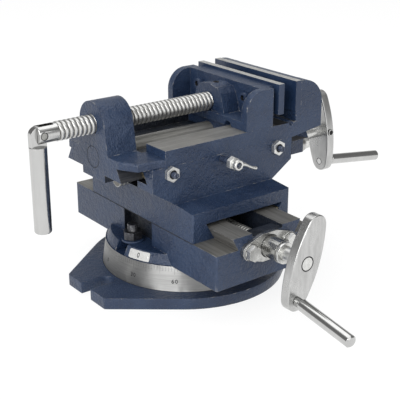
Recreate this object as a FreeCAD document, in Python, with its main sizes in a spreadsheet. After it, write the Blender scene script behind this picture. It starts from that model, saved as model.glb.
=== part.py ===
import FreeCAD, Part
import math
import os
import re
import Sketcher

# Cross slide vise: a 125 mm drill press vise on two crossed dovetail slides and a graduated swivel base.
# Frame: millimetres, origin on the swivel axis in the base's underside, +Z up, +X along the vise screw
# towards the fixed jaw, -Y towards the crank of the lower slide.

SIZES = {
    # swivel base: plate, slotted ears, graduated drum, ring T-slot
    "plate_thick": 11.0,
    "disc_radius": 98.0,
    "ear_reach": 118.0,
    "ear_half": 32.5,
    "ear_corner": 3.0,
    "slot_width": 16.5,
    "slot_end": 96.0,
    "drum_height": 24.0,
    "drum_radius": 84.0,
    "drum_taper": 3.5,
    "ring_radius": 63.5,
    "ring_throat": 11.2,
    "ring_lip": 8.0,
    "ring_cavity": 19.0,
    "ring_cavity_height": 9.0,
    "ring_entry": 21.0,
    "pivot_diameter": 24.0,
    "pivot_press_depth": 10.0,
    "relief_depth": 2.0,
    "relief_inner": 22.0,
    "relief_outer": 50.0,
    # lower slide casting, travels along Y on its two rails
    "slide_half": 57.5,
    "slide_near": 122.5,
    "slide_far": 116.0,
    "slide_height": 33.5,
    "flange_radius": 79.5,
    "flange_draft": 4.5,
    "flange_height": 9.5,
    "notch_width": 15.0,
    "nut_pocket_half": 23.5,
    "nut_pocket_clear": 3.5,
    "rail_half": 40.0,
    "rail_height": 12.0,
    "rail_undercut": 6.9,
    "slide_trough_half": 17.7,
    "slide_trough_depth": 30.5,
    "end_wall": 14.0,
    "end_wall_drop": 3.0,
    "casting_round": 2.0,
    # saddle casting between the two slides
    "saddle_near": 88.0,
    "saddle_far": 83.0,
    "saddle_block": 28.0,
    "ledge_rise": 2.0,
    "jaw_half": 62.5,
    "wall_reach": 82.0,
    "wall_slant_foot": 29.5,
    "wall_slant_head": 45.5,
    "saddle_height": 67.5,
    "dovetail_roof_gap": 4.0,
    "gib_thick": 5.77,
    "gib_inset": 1.0,
    "fit": 0.06,
    "side_gap": 0.4,
    "tenon_half": 39.0,
    "tenon_height": 12.0,
    "tenon_undercut": 6.9,
    "land_gap": 3.5,
    "land_half": 38.5,
    "floor_drop": 7.0,
    "screw_channel_half": 10.0,
    # lead screws, brackets and cranks, alike on both slides
    "lead_radius": 7.0,
    "lead_clearance": 0.4,
    "lower_lead_drop": 3.0,
    "upper_lead_drop": 4.0,
    "lower_lead_length": 228.0,
    "upper_lead_length": 208.0,
    "journal_radius": 6.9,
    "flange_thick": 4.0,
    "bolt_spacing": 45.4,
    "flange_eye": 8.3,
    "flange_waist": 13.5,
    "flange_flat": 8.0,
    "bracket_length": 21.5,
    "bracket_radius": 10.4,
    "bush_wall": 1.8,
    "bush_stand": 0.6,
    "bolt_radius": 4.0,
    "bolt_head_across": 13.0,
    "bolt_head_height": 5.3,
    "bolt_length": 16.0,
    "washer_thick": 1.6,
    "washer_radius": 8.0,
    "grub_radius": 3.0,
    "grub_position": 11.5,
    "grub_aside": 53.0,
    "collar_radius": 10.0,
    "collar_length": 3.2,
    "lower_arm_reach": 42.5,
    "upper_arm_reach": 50.0,
    "arm_thick": 10.0,
    "arm_end_span": 33.5,
    "arm_end_radius": 10.5,
    "arm_half_width": 15.5,
    "arm_edge": 1.2,
    "grip_offset": 34.0,
    "grip_radius": 5.6,
    "grip_neck_radius": 4.4,
    "grip_neck_length": 5.0,
    "grip_rivet_radius": 3.4,
    "grip_edge": 1.2,
    "grip_seat": 0.7,
    "key_inset": 2.5,
    "lower_grip_length": 68.5,
    "upper_grip_length": 79.5,
    "grip_splay": 7.5,
    "lower_arm_tilt": 18.0,
    "upper_arm_tilt": 9.0,
    "nut_block_half": 13.0,
    "nut_block_length": 36.0,
    "nut_screw_offset": 12.0,
    "nut_screw_radius": 2.0,
    "nut_screw_along": 12.0,
    "nut_screw_aside": 10.2,
    "nut_screw_bite": 8.0,
    "nut_seat_gap": 3.0,
    # gib screws and slide lock
    "gib_screw_radius": 4.0,
    "gib_screw_x": 62.5,
    "gib_screw_drop": 6.5,
    "gib_screw_stand": 9.5,
    "gib_nut_across": 13.0,
    "gib_nut_thick": 4.5,
    "lower_gib_screw_y": 58.0,
    "lower_gib_screw_rise": 6.5,
    "lock_x": -4.5,
    "lock_drop": 4.5,
    "lock_radius": 3.0,
    "lock_stand": 17.0,
    "lever_hub_radius": 5.5,
    "lever_hub_length": 10.0,
    "lever_length": 26.0,
    "lever_drop": 10.0,
    "lever_tail": 9.0,
    "lever_eye_radius": 2.6,
    # vise body casting, travels along X on the saddle
    "body_back": 120.5,
    "body_front": 104.0,
    "rail_start": 68.0,
    "rail_level": 15.0,
    "rail_inner": 33.0,
    "trough_depth": 11.0,
    "keel_trough_half": 15.0,
    "keel_trough_depth": 29.0,
    "keel_boss_half": 19.0,
    "keel_boss_drop": 7.0,
    "web_level": 7.0,
    "web_corner": 16.0,
    "web_inset": 4.0,
    "web_edge": 2.0,
    "housing_length": 31.0,
    "housing_half": 21.0,
    "housing_foot_half": 25.0,
    "vise_axis": 16.7,
    "pad_reach": 7.5,
    "pad_half": 31.0,
    "pad_flat_half": 6.0,
    "pad_depth": 16.0,
    "jaw_height": 39.5,
    "fixed_rise": 2.0,
    "fixed_wall": 8.0,
    "fixed_cheek": 14.5,
    "fixed_floor": 9.0,
    "fixed_jaw_front": 92.5,
    "fixed_neck_front": 84.0,
    "jaw_crown": 25.0,
    "ledge_inset": 1.0,
    "jaw_groove": 3.2,
    "back_rise": 5.0,
    "plate_height": 29.5,
    "jaw_plate_thick": 7.0,
    "plate_stand": 2.5,
    "plate_screw_y": 36.0,
    "plate_screw_radius": 3.0,
    "plate_skin": 2.0,
    "plate_screw_head": 5.1,
    "plate_screw_head_height": 6.0,
    "socket_across": 5.0,
    "socket_depth": 3.0,
    "bar_radius": 10.0,
    "bar_level": 14.0,
    # movable jaw
    "jaw_gap": 15.0,
    "jaw_pad": 6.5,
    "jaw_depth": 32.5,
    "jaw_wall": 10.0,
    "cheek_thick": 8.0,
    "cheek_crown": 20.0,
    "jaw_floor": 8.5,
    "jaw_notch_radius": 5.0,
    "jaw_notch_aside": 1.6,
    "boss_radius": 17.5,
    "boss_shoulder": 18.5,
    "boss_foot": 24.7,
    "boss_rise": 15.5,
    "boss_corner": 5.0,
    "oil_hole_radius": 2.2,
    "oil_hole_setback": 13.0,
    "boss_front": 3.5,
    "keel_gap": 0.5,
    "retainer_radius": 2.0,
    # vise screw and folding handle
    "screw_radius": 9.0,
    "screw_fit": 0.08,
    "screw_thread_end": 141.0,
    "clevis_radius": 8.5,
    "clevis_length": 19.0,
    "clevis_edge": 1.0,
    "screw_pilot_radius": 8.0,
    "screw_pilot_length": 17.0,
    "screw_neck_radius": 6.0,
    "screw_neck_length": 5.0,
    "clevis_slot": 7.0,
    "tongue_thick": 6.4,
    "hinge_setback": 4.3,
    "hinge_offset": 2.8,
    "tongue_swing_gap": 0.9,
    "hinge_pin_radius": 3.2,
    "handle_radius": 8.0,
    "handle_shoulder": 10.6,
    "handle_length": 91.0,
    "handle_edge": 2.2,
    # swivel clamping
    "stud_radius": 5.0,
    "stud_stand": 15.0,
    "swivel_nut_across": 17.0,
    "swivel_nut_thick": 8.0,
    "swivel_washer_radius": 11.0,
    "swivel_washer_thick": 2.0,
    "t_head_gap": 0.4,
    "index_length_angle": 17.5,
    "index_start_angle": 190.0,
    "index_margin": 0.9,
    "index_thick": 0.6,
}

FUNCTIONS = ("sqrt",)

doc = FreeCAD.newDocument("CrossSlideVise")
sheet = doc.addObject("Spreadsheet::Sheet", "Sizes")
for row, (alias, value) in enumerate(SIZES.items(), start=1):
    sheet.set("A%d" % row, alias)
    sheet.set("B%d" % row, str(value))
    sheet.setAlias("B%d" % row, alias)
doc.recompute()

# levels above the underside of the base, as expressions of the sizes
DRUM_TOP = "(plate_thick + drum_height)"
WAY = "(plate_thick + drum_height + slide_height)"
RAIL_TOP = "(%s + rail_height)" % WAY
SADDLE_ROOF = "(%s + dovetail_roof_gap)" % RAIL_TOP
BLOCK_TOP = "(%s + saddle_block)" % WAY
SEAM = "(%s + saddle_height)" % WAY
TENON_FOOT = "(%s - tenon_height)" % SEAM
LAND = "(%s - land_gap)" % TENON_FOOT
CHANNEL_FLOOR = "(%s - floor_drop)" % LAND
LOWER_AXIS = "(%s - lower_lead_drop)" % WAY
UPPER_AXIS = "(%s - upper_lead_drop)" % CHANNEL_FLOOR
NUT_SEAT = "(%s - screw_channel_half)" % UPPER_AXIS
VISE_RAIL = "(%s + rail_level)" % SEAM
VISE_AXIS = "(%s + vise_axis)" % VISE_RAIL
BAR_AXIS = "(%s - bar_level)" % VISE_RAIL
JAW_TOP = "(%s + jaw_height - plate_stand)" % VISE_RAIL
PLATE_TOP = "(%s + jaw_height)" % VISE_RAIL
PLATE_FOOT = "(%s - plate_height)" % PLATE_TOP
PLATE_AXIS = "(%s - plate_height / 2)" % PLATE_TOP
FIXED_FACE = "(fixed_jaw_front - jaw_plate_thick)"
MOVING_FACE = "(%s - jaw_gap)" % FIXED_FACE
PAD_FRONT = "(%s - jaw_plate_thick)" % MOVING_FACE
CAST_FRONT = "(%s - jaw_pad)" % PAD_FRONT
JAW_BACK = "(%s - jaw_depth)" % CAST_FRONT
UPPER_FACE = "(body_back + pad_reach)"
HINGE_X = "(-screw_thread_end - clevis_length + hinge_setback)"
FIXED_TOP = "(%s + fixed_rise)" % JAW_TOP

PLANES = {"XY": "XY_Plane", "XZ": "XZ_Plane", "YZ": "YZ_Plane"}
AXES = {"X": FreeCAD.Vector(1, 0, 0), "Y": FreeCAD.Vector(0, 1, 0), "Z": FreeCAD.Vector(0, 0, 1)}
LOWER_FRAME = FreeCAD.Rotation(AXES["X"], 90)
UPPER_FRAME = FreeCAD.Rotation(FreeCAD.Vector(1, 1, 1), 120)
NODES = []


def bound(text):
    """Give an expression with every size name pointing at its cell."""
    def cell(match):
        word = match.group(0)
        return word if word in FUNCTIONS else "Sizes." + word
    return re.sub(r"[a-z][a-z_]*", cell, text)


def body(label):
    """Start a sub-part as a body and list it for export."""
    made = doc.addObject("PartDesign::Body", "Body_" + label)
    made.Label = label
    NODES.append(made)
    return made


def seat(made, x="0", y="0", z="0", turn=None):
    """Give a body its place in the object's frame."""
    if turn is not None:
        made.Placement = FreeCAD.Placement(FreeCAD.Vector(0, 0, 0), turn)
    for axis, text in zip("xyz", (x, y, z)):
        made.setExpression(".Placement.Base.%s" % axis, bound(text))


def blank_sketch(owner, plane, offset=("0", "0", "0")):
    """Attach an empty sketch to one of the body's origin planes, moved by offset in the plane's axes."""
    made = owner.newObject("Sketcher::SketchObject", "Sketch")
    role = PLANES[plane]
    face = next(item for item in owner.Origin.OriginFeatures if item.Role == role)
    made.AttachmentSupport = [(face, "")]
    made.MapMode = "FlatFace"
    for axis, text in zip("xyz", offset):
        if text != "0":
            made.setExpression(".AttachmentOffset.Base.%s" % axis, bound(text))
    return made


def lean(made, axis, angle):
    """Turn an attached sketch about one of its own axes by a bound angle."""
    made.AttachmentOffset = FreeCAD.Placement(made.AttachmentOffset.Base, FreeCAD.Rotation(axis, 1))
    made.setExpression(".AttachmentOffset.Rotation.Angle", bound(angle))


def pin_point(made, index, position, x, y, start=(1.0, 1.0)):
    """Fix one vertex of a sketch by two bound distances from its origin, solved from a start position."""
    for kind, text, value in (("DistanceX", x, start[0]), ("DistanceY", y, start[1])):
        number = made.addConstraint(Sketcher.Constraint(kind, -1, 1, index, position, value))
        made.setExpression("Constraints[%d]" % number, bound(text))


def draw_polygon(made, points):
    """Draw a closed outline whose corners are pairs of expressions."""
    first = made.GeometryCount
    count = len(points)
    start = [FreeCAD.Vector(30 * math.cos(2 * math.pi * i / count), 30 * math.sin(2 * math.pi * i / count), 0)
             for i in range(count)]
    for i in range(count):
        made.addGeometry(Part.LineSegment(start[i], start[(i + 1) % count]), False)
    for i in range(count):
        made.addConstraint(Sketcher.Constraint("Coincident", first + i, 2, first + (i + 1) % count, 1))
    for i, (x, y) in enumerate(points):
        pin_point(made, first + i, 1, x, y)


def draw_circle(made, x, y, radius):
    """Draw a circle bound by its centre and radius."""
    index = made.addGeometry(Part.Circle(FreeCAD.Vector(5, 5, 0), FreeCAD.Vector(0, 0, 1), 3), False)
    number = made.addConstraint(Sketcher.Constraint("Radius", index, 3.0))
    made.setExpression("Constraints[%d]" % number, bound(radius))
    pin_point(made, index, 3, x, y)


def draw(made, shapes):
    """Draw circles (x, y, radius) and polygons (lists of corners) in one sketch."""
    for shape in shapes:
        if isinstance(shape, tuple):
            draw_circle(made, *shape)
        else:
            draw_polygon(made, shape)


def settle(owner, feature, before):
    """Recompute a body after a new feature, and stop if it failed or cut nothing."""
    doc.recompute()
    if "Invalid" in feature.State or "Error" in feature.State or owner.Shape.isNull():
        raise ValueError("%s of %s failed: %s" % (feature.Name, owner.Label, feature.State))
    if before is not None and not owner.Shape.Volume < before:
        raise ValueError("%s of %s removes nothing" % (feature.Name, owner.Label))
    return feature


def extrude(owner, plane, start, end, shapes, cut=False):
    """Add or cut a prism between two levels along the plane's own axis of the frame."""
    level = "-(%s)" % end if plane == "XZ" else start
    made = blank_sketch(owner, plane, ("0", "0", level))
    draw(made, shapes)
    before = owner.Shape.Volume if cut else None
    feature = owner.newObject("PartDesign::Pocket" if cut else "PartDesign::Pad", "Cut" if cut else "Pad")
    feature.Profile = made
    feature.setExpression("Length", bound("(%s) - (%s)" % (end, start)))
    feature.Reversed = cut
    return settle(owner, feature, before)


def turn(owner, axis, profile, at=("0", "0"), cut=False):
    """Revolve a profile round an axis of the frame.

    Round Z the profile is (radius, z) and at is (x, y). Round X it is (x, radius) and at is (y, z).
    Round Y it is (y, radius) and at is (x, z).
    """
    if axis == "Z":
        made = blank_sketch(owner, "XZ", (at[0], "0", "-(%s)" % at[1]))
    elif axis == "X":
        made = blank_sketch(owner, "XZ", ("0", at[1], "-(%s)" % at[0]))
    else:
        made = blank_sketch(owner, "YZ", ("0", at[1], at[0]))
    draw_polygon(made, profile)
    before = owner.Shape.Volume if cut else None
    feature = owner.newObject("PartDesign::Groove" if cut else "PartDesign::Revolution", "Turned")
    feature.Profile = made
    feature.ReferenceAxis = (made, ["V_Axis" if axis == "Z" else "H_Axis"])
    feature.Angle = 360.0
    return settle(owner, feature, before)


def edge_names(shape, test):
    """Name the edges of a shape that pass a test."""
    return ["Edge%d" % (i + 1) for i, edge in enumerate(shape.Edges) if test(edge)]


def runs_along(edge, axis):
    """Tell whether an edge is straight and parallel to an axis."""
    if not isinstance(edge.Curve, Part.Line):
        return False
    return abs(abs(edge.Curve.Direction.dot(AXES[axis])) - 1.0) < 1e-6


def soften(owner, radius, test):
    """Round the edges of a body's tip that pass a test."""
    base = owner.Tip
    feature = owner.newObject("PartDesign::Fillet", "Edges")
    feature.Base = (base, edge_names(base.Shape, test))
    feature.setExpression("Radius", bound(radius))
    return settle(owner, feature, None)


def box(x_low, x_high, y_low, y_high):
    """Give the corners of a rectangle."""
    return [(x_low, y_low), (x_high, y_low), (x_high, y_high), (x_low, y_high)]


def hexagon(x, y, across, turned=False):
    """Give the corners of a hexagon by its width across flats."""
    corners = []
    for i in range(6):
        angle = math.radians(60 * i + (30 if turned else 0))
        reach = 1.0 / math.cos(math.radians(30)) / 2.0
        corners.append(("%s + %s * %.9f" % (x, across, reach * math.cos(angle)),
                        "%s + %s * %.9f" % (y, across, reach * math.sin(angle))))
    return corners


def make_swivel_base():
    """Base plate with two slotted ears, tapered scale drum, ring T-slot and pivot bore."""
    made = body("swivel_base")
    extrude(made, "XY", "0", "plate_thick", [("0", "0", "disc_radius")])
    # the straight flanks run from each ear corner to their tangent point on the disc
    span = "(ear_reach * ear_reach + ear_half * ear_half)"
    leg = "sqrt(%s - disc_radius * disc_radius)" % span
    tangent_x = "(disc_radius * disc_radius * ear_reach - disc_radius * %s * ear_half) / %s" % (leg, span)
    tangent_y = "(disc_radius * disc_radius * ear_half + disc_radius * %s * ear_reach) / %s" % (leg, span)
    outline = [("ear_reach", "-ear_half"), ("ear_reach", "ear_half"), (tangent_x, tangent_y),
               ("-(%s)" % tangent_x, tangent_y), ("-ear_reach", "ear_half"), ("-ear_reach", "-ear_half"),
               ("-(%s)" % tangent_x, "-(%s)" % tangent_y), (tangent_x, "-(%s)" % tangent_y)]
    extrude(made, "XY", "0", "plate_thick", [outline])
    soften(made, "ear_corner", lambda edge: runs_along(edge, "Z") and abs(edge.CenterOfMass.x) > SIZES["ear_reach"] - 1)
    turn(made, "Z", [("0", "plate_thick / 2"), ("drum_radius", "plate_thick / 2"), ("drum_radius", "plate_thick"),
                     ("drum_radius - drum_taper", DRUM_TOP), ("0", DRUM_TOP)])
    for side in ("", "-"):
        slot = box("%sslot_end" % side, "%s(ear_reach + slot_width)" % side, "-slot_width / 2", "slot_width / 2")
        extrude(made, "XY", "-1", "plate_thick + 1", [slot], cut=True)
        extrude(made, "XY", "-1", "plate_thick + 1", [("%sslot_end" % side, "0", "slot_width / 2")], cut=True)
    inner = "ring_radius - ring_throat / 2"
    outer = "ring_radius + ring_throat / 2"
    wide_in = "ring_radius - ring_cavity / 2"
    wide_out = "ring_radius + ring_cavity / 2"
    lip = "%s - ring_lip" % DRUM_TOP
    foot = "%s - ring_lip - ring_cavity_height" % DRUM_TOP
    turn(made, "Z", [(inner, DRUM_TOP), (inner, lip), (wide_in, lip), (wide_in, foot), (wide_out, foot),
                     (wide_out, lip), (outer, lip), (outer, DRUM_TOP)], cut=True)
    extrude(made, "XY", "-1", foot + " + 1", [("0", "ring_radius", "ring_entry / 2")], cut=True)
    turn(made, "Z", [("relief_inner", "0"), ("relief_outer", "0"), ("relief_outer", "relief_depth"),
                     ("relief_inner", "relief_depth")], cut=True)
    extrude(made, "XY", "-1", DRUM_TOP + " + 1", [("0", "0", "pivot_diameter / 2 + fit")], cut=True)


def make_swivel_clamp():
    """Pivot pin, T-bolts, washers and nuts that hold the slide on the base."""
    pin = body("swivel_pivot")
    turn(pin, "Z", [("0", "relief_depth"), ("pivot_diameter / 2", "relief_depth"),
                    ("pivot_diameter / 2", DRUM_TOP + " + pivot_press_depth"), ("0", DRUM_TOP + " + pivot_press_depth")])
    flange_top = "%s + flange_height" % DRUM_TOP
    nut_foot = "%s + swivel_washer_thick" % flange_top
    nut_top = "%s + swivel_nut_thick" % nut_foot
    centres = ("-ring_radius", "ring_radius")
    bolts = body("swivel_t_bolts")
    head_foot = "%s - ring_lip - ring_cavity_height + t_head_gap" % DRUM_TOP
    head_top = "%s - ring_lip - t_head_gap" % DRUM_TOP
    half = "ring_cavity / 2 - t_head_gap * 3"
    heads = [box("%s - (%s)" % (x, half), "%s + %s" % (x, half), "-ring_throat / 2", "ring_throat / 2") for x in centres]
    extrude(bolts, "XY", head_foot, head_top, heads)
    extrude(bolts, "XY", head_top, "%s + stud_stand" % nut_foot, [(x, "0", "stud_radius") for x in centres])
    washers = body("swivel_washers")
    extrude(washers, "XY", flange_top, nut_foot, [(x, "0", "swivel_washer_radius") for x in centres])
    extrude(washers, "XY", flange_top, nut_foot, [(x, "0", "stud_radius + fit") for x in centres], cut=True)
    nuts = body("swivel_nuts")
    extrude(nuts, "XY", nut_foot, nut_top, [hexagon(x, "0", "swivel_nut_across") for x in centres])
    extrude(nuts, "XY", nut_foot, nut_top, [(x, "0", "stud_radius + fit") for x in centres], cut=True)


def make_lower_slide():
    """Turntable flange, male dovetail rails, screw trough and bolt pockets in one casting."""
    made = body("lower_slide")
    foot = "rail_half - rail_undercut"
    floor = "%s - slide_trough_depth" % RAIL_TOP
    section = [("-slide_half", DRUM_TOP), ("slide_half", DRUM_TOP), ("slide_half", WAY), (foot, WAY),
               ("rail_half", RAIL_TOP), ("slide_trough_half", RAIL_TOP), ("slide_trough_half", floor),
               ("-slide_trough_half", floor), ("-slide_trough_half", RAIL_TOP), ("-rail_half", RAIL_TOP),
               ("-(%s)" % foot, WAY), ("-slide_half", WAY)]
    extrude(made, "XZ", "-slide_near", "slide_far", [section])
    soften(made, "casting_round",
           lambda edge: runs_along(edge, "Z") and abs(edge.CenterOfMass.x) > SIZES["slide_half"] - 0.1)
    extrude(made, "XZ", "-slide_near", "-slide_near + end_wall",
            [box("-slide_trough_half", "slide_trough_half", floor, RAIL_TOP + " - end_wall_drop")])
    turn(made, "Z", [("0", DRUM_TOP), ("flange_radius", DRUM_TOP),
                     ("flange_radius - flange_draft", DRUM_TOP + " + flange_height"),
                     ("0", DRUM_TOP + " + flange_height")])
    for side in ("", "-"):
        pocket_face = "%s(ring_radius - swivel_washer_radius - nut_pocket_clear)" % side
        pocket = [box(pocket_face, "%s(flange_radius + 1)" % side, "-nut_pocket_half", "nut_pocket_half")]
        extrude(made, "XY", DRUM_TOP + " + flange_height", WAY, pocket, cut=True)
        notch = [box("%sring_radius" % side, "%s(flange_radius + 1)" % side, "-notch_width / 2", "notch_width / 2")]
        extrude(made, "XY", DRUM_TOP, DRUM_TOP + " + flange_height", notch, cut=True)
        extrude(made, "XY", DRUM_TOP, DRUM_TOP + " + flange_height", [("%sring_radius" % side, "0", "notch_width / 2")],
                cut=True)
    extrude(made, "XY", DRUM_TOP, DRUM_TOP + " + pivot_press_depth", [("0", "0", "pivot_diameter / 2")], cut=True)
    extrude(made, "XZ", "-slide_near - 1", "-slide_near + end_wall + 1",
            [("0", LOWER_AXIS, "lead_radius + lead_clearance")], cut=True)
    holes = [("%sbolt_spacing / 2" % side, LOWER_AXIS, "bolt_radius") for side in ("", "-")]
    extrude(made, "XZ", "-slide_near - 1", "-slide_near - flange_thick - washer_thick + bolt_length", holes, cut=True)


def make_index_plate():
    """Curved pointer plate on the tapered rim of the turntable."""
    made = body("index_plate")
    low = "%s + index_margin" % DRUM_TOP
    high = "%s + flange_height - index_margin" % DRUM_TOP
    slope = "flange_draft / flange_height"
    inner_low = "flange_radius - index_margin * %s" % slope
    inner_high = "flange_radius - (flange_height - index_margin) * %s" % slope
    feature = turn(made, "Z", [(inner_low, low), ("%s + index_thick" % inner_low, low),
                               ("%s + index_thick" % inner_high, high), (inner_high, high)])
    feature.setExpression("Angle", bound("index_length_angle"))
    made.Placement = FreeCAD.Placement(FreeCAD.Vector(0, 0, 0), FreeCAD.Rotation(AXES["Z"], 1))
    made.setExpression(".Placement.Rotation.Angle", bound("index_start_angle"))
    doc.recompute()


def make_saddle():
    """Middle casting: female dovetail below along Y, female dovetail above along X."""
    made = body("saddle")
    extrude(made, "XY", WAY, BLOCK_TOP, [box("-slide_half", "slide_half", "-saddle_near", "saddle_far")])
    soften(made, "casting_round", lambda edge: runs_along(edge, "Z"))
    ledge_y = "jaw_half"
    ledge = [("-saddle_near + casting_round", BLOCK_TOP), ("-%s" % ledge_y, BLOCK_TOP + " + ledge_rise"),
             (ledge_y, BLOCK_TOP + " + ledge_rise"), ("saddle_far - casting_round", BLOCK_TOP)]
    extrude(made, "YZ", "-slide_half", "slide_half", [ledge])
    walls = [("-slide_half", BLOCK_TOP), ("slide_half", BLOCK_TOP), ("slide_half", WAY + " + wall_slant_foot"),
             ("wall_reach", WAY + " + wall_slant_head"), ("wall_reach", SEAM), ("-wall_reach", SEAM),
             ("-wall_reach", WAY + " + wall_slant_head"), ("-slide_half", WAY + " + wall_slant_foot")]
    extrude(made, "XZ", "-jaw_half", "jaw_half", [walls])
    # lower female dovetail: the -X flank runs on the rail, the +X flank leaves room for the gib
    slope = "rail_undercut / rail_height"
    foot = "rail_half - rail_undercut"
    head = "%s + %s * (rail_height + dovetail_roof_gap)" % (foot, slope)
    lower = [("-(%s) - fit" % foot, WAY), ("-(%s) - fit" % head, SADDLE_ROOF), ("%s + gib_thick + fit * 2" % head, SADDLE_ROOF),
             ("%s + gib_thick + fit * 2" % foot, WAY)]
    extrude(made, "XZ", "-saddle_near - 1", "saddle_far + 1", [lower], cut=True)
    # upper female dovetail: the +Y flank runs on the tenon, the -Y flank leaves room for the gib
    upper_slope = "tenon_undercut / tenon_height"
    reach = "tenon_half + %s * (tenon_height + land_gap)" % upper_slope
    upper = [("tenon_half + fit", SEAM), ("%s + fit" % reach, LAND), ("land_half", LAND), ("land_half", CHANNEL_FLOOR),
             ("-land_half", CHANNEL_FLOOR), ("-land_half", LAND), ("-(%s) - gib_thick - fit * 2" % reach, LAND),
             ("-tenon_half - gib_thick - fit * 2", SEAM)]
    extrude(made, "YZ", "-wall_reach - 1", "wall_reach + 1", [upper], cut=True)
    channel = box("-screw_channel_half", "screw_channel_half", UPPER_AXIS, CHANNEL_FLOOR)
    extrude(made, "YZ", "-wall_reach - 1", "wall_reach + 1", [channel], cut=True)
    extrude(made, "YZ", "-wall_reach - 1", "wall_reach + 1", [("0", UPPER_AXIS, "screw_channel_half")], cut=True)
    # seat of the upper screw nut and the holes of its two screws
    nut_seat = [box("-nut_block_length / 2", "nut_block_length / 2",
                    "-nut_block_half - nut_seat_gap", "nut_block_half + nut_seat_gap")]
    extrude(made, "XY", NUT_SEAT, CHANNEL_FLOOR + " + 1", nut_seat, cut=True)
    # holes of the lower nut screws, of the gib screws and of the slide lock
    bites = [("%snut_screw_along" % side, "%snut_screw_aside" % side, "nut_screw_radius") for side in ("", "-")]
    extrude(made, "XY", "%s - nut_screw_bite" % NUT_SEAT, CHANNEL_FLOOR, bites, cut=True)
    lower_holes = [("0", "%snut_screw_offset" % side, "nut_screw_radius + fit") for side in ("", "-")]
    extrude(made, "XY", SADDLE_ROOF + " - 1", "%s + 1" % NUT_SEAT, lower_holes, cut=True)
    gib_level = "%s - gib_screw_drop" % SEAM
    upper_holes = [("%sgib_screw_x" % side, gib_level, "gib_screw_radius + fit") for side in ("", "-")]
    upper_holes.append(("lock_x", "%s - lock_drop" % SEAM, "lock_radius + fit"))
    extrude(made, "XZ", "-jaw_half - 1", "-tenon_half", upper_holes, cut=True)
    side_holes = [("%slower_gib_screw_y" % side, WAY + " + lower_gib_screw_rise", "gib_screw_radius + fit")
                  for side in ("", "-")]
    extrude(made, "YZ", "rail_half - rail_undercut", "slide_half + 1", side_holes, cut=True)


def make_gibs():
    """Two flat gib strips, their adjusting screws and lock nuts."""
    upper = body("upper_gib")
    slope = "tenon_undercut / tenon_height"
    low = "%s + gib_inset" % TENON_FOOT
    near = "tenon_half + tenon_undercut - gib_inset * %s" % slope
    far = "tenon_half + side_gap * %s" % slope
    section = [("-(%s) - fit" % far, SEAM + " - side_gap"), ("-(%s) - gib_thick - fit" % far, SEAM + " - side_gap"),
               ("-(%s) - gib_thick - fit" % near, low), ("-(%s) - fit" % near, low)]
    extrude(upper, "YZ", "-wall_reach + gib_inset", "wall_reach - gib_inset", [section])
    lower = body("lower_gib")
    rail_slope = "rail_undercut / rail_height"
    foot = "rail_half - rail_undercut + side_gap * %s" % rail_slope
    head = "rail_half - gib_inset * %s" % rail_slope
    section = [("%s + fit" % foot, WAY + " + side_gap"), ("%s + gib_thick + fit" % foot, WAY + " + side_gap"),
               ("%s + gib_thick + fit" % head, RAIL_TOP + " - gib_inset"), ("%s + fit" % head, RAIL_TOP + " - gib_inset")]
    extrude(lower, "XZ", "-saddle_near + gib_inset", "saddle_far - gib_inset", [section])

    level = "%s - gib_screw_drop" % SEAM
    tip = "tenon_half + %s * gib_screw_drop + gib_thick + fit" % slope
    point = "gib_screw_radius * %s" % slope
    sides = ("", "-")
    screws = body("upper_gib_screws")
    extrude(screws, "XZ", "-jaw_half - gib_screw_stand", "-(%s) - %s" % (tip, point),
            [("%sgib_screw_x" % side, level, "gib_screw_radius") for side in sides])
    nuts = body("upper_gib_nuts")
    extrude(nuts, "XZ", "-jaw_half - gib_nut_thick", "-jaw_half",
            [hexagon("%sgib_screw_x" % side, level, "gib_nut_across", True) for side in sides])
    extrude(nuts, "XZ", "-jaw_half - gib_nut_thick", "-jaw_half",
            [("%sgib_screw_x" % side, level, "gib_screw_radius + fit") for side in sides], cut=True)

    side_level = WAY + " + lower_gib_screw_rise"
    side_tip = "rail_half - rail_undercut + %s * lower_gib_screw_rise + gib_thick + fit" % rail_slope
    side_point = "gib_screw_radius * %s" % rail_slope
    screws = body("lower_gib_screws")
    extrude(screws, "YZ", "%s + %s" % (side_tip, side_point), "slide_half + gib_screw_stand",
            [("%slower_gib_screw_y" % side, side_level, "gib_screw_radius") for side in sides])
    nuts = body("lower_gib_nuts")
    extrude(nuts, "YZ", "slide_half", "slide_half + gib_nut_thick",
            [hexagon("%slower_gib_screw_y" % side, side_level, "gib_nut_across", True) for side in sides])
    extrude(nuts, "YZ", "slide_half", "slide_half + gib_nut_thick",
            [("%slower_gib_screw_y" % side, side_level, "gib_screw_radius + fit") for side in sides], cut=True)


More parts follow.
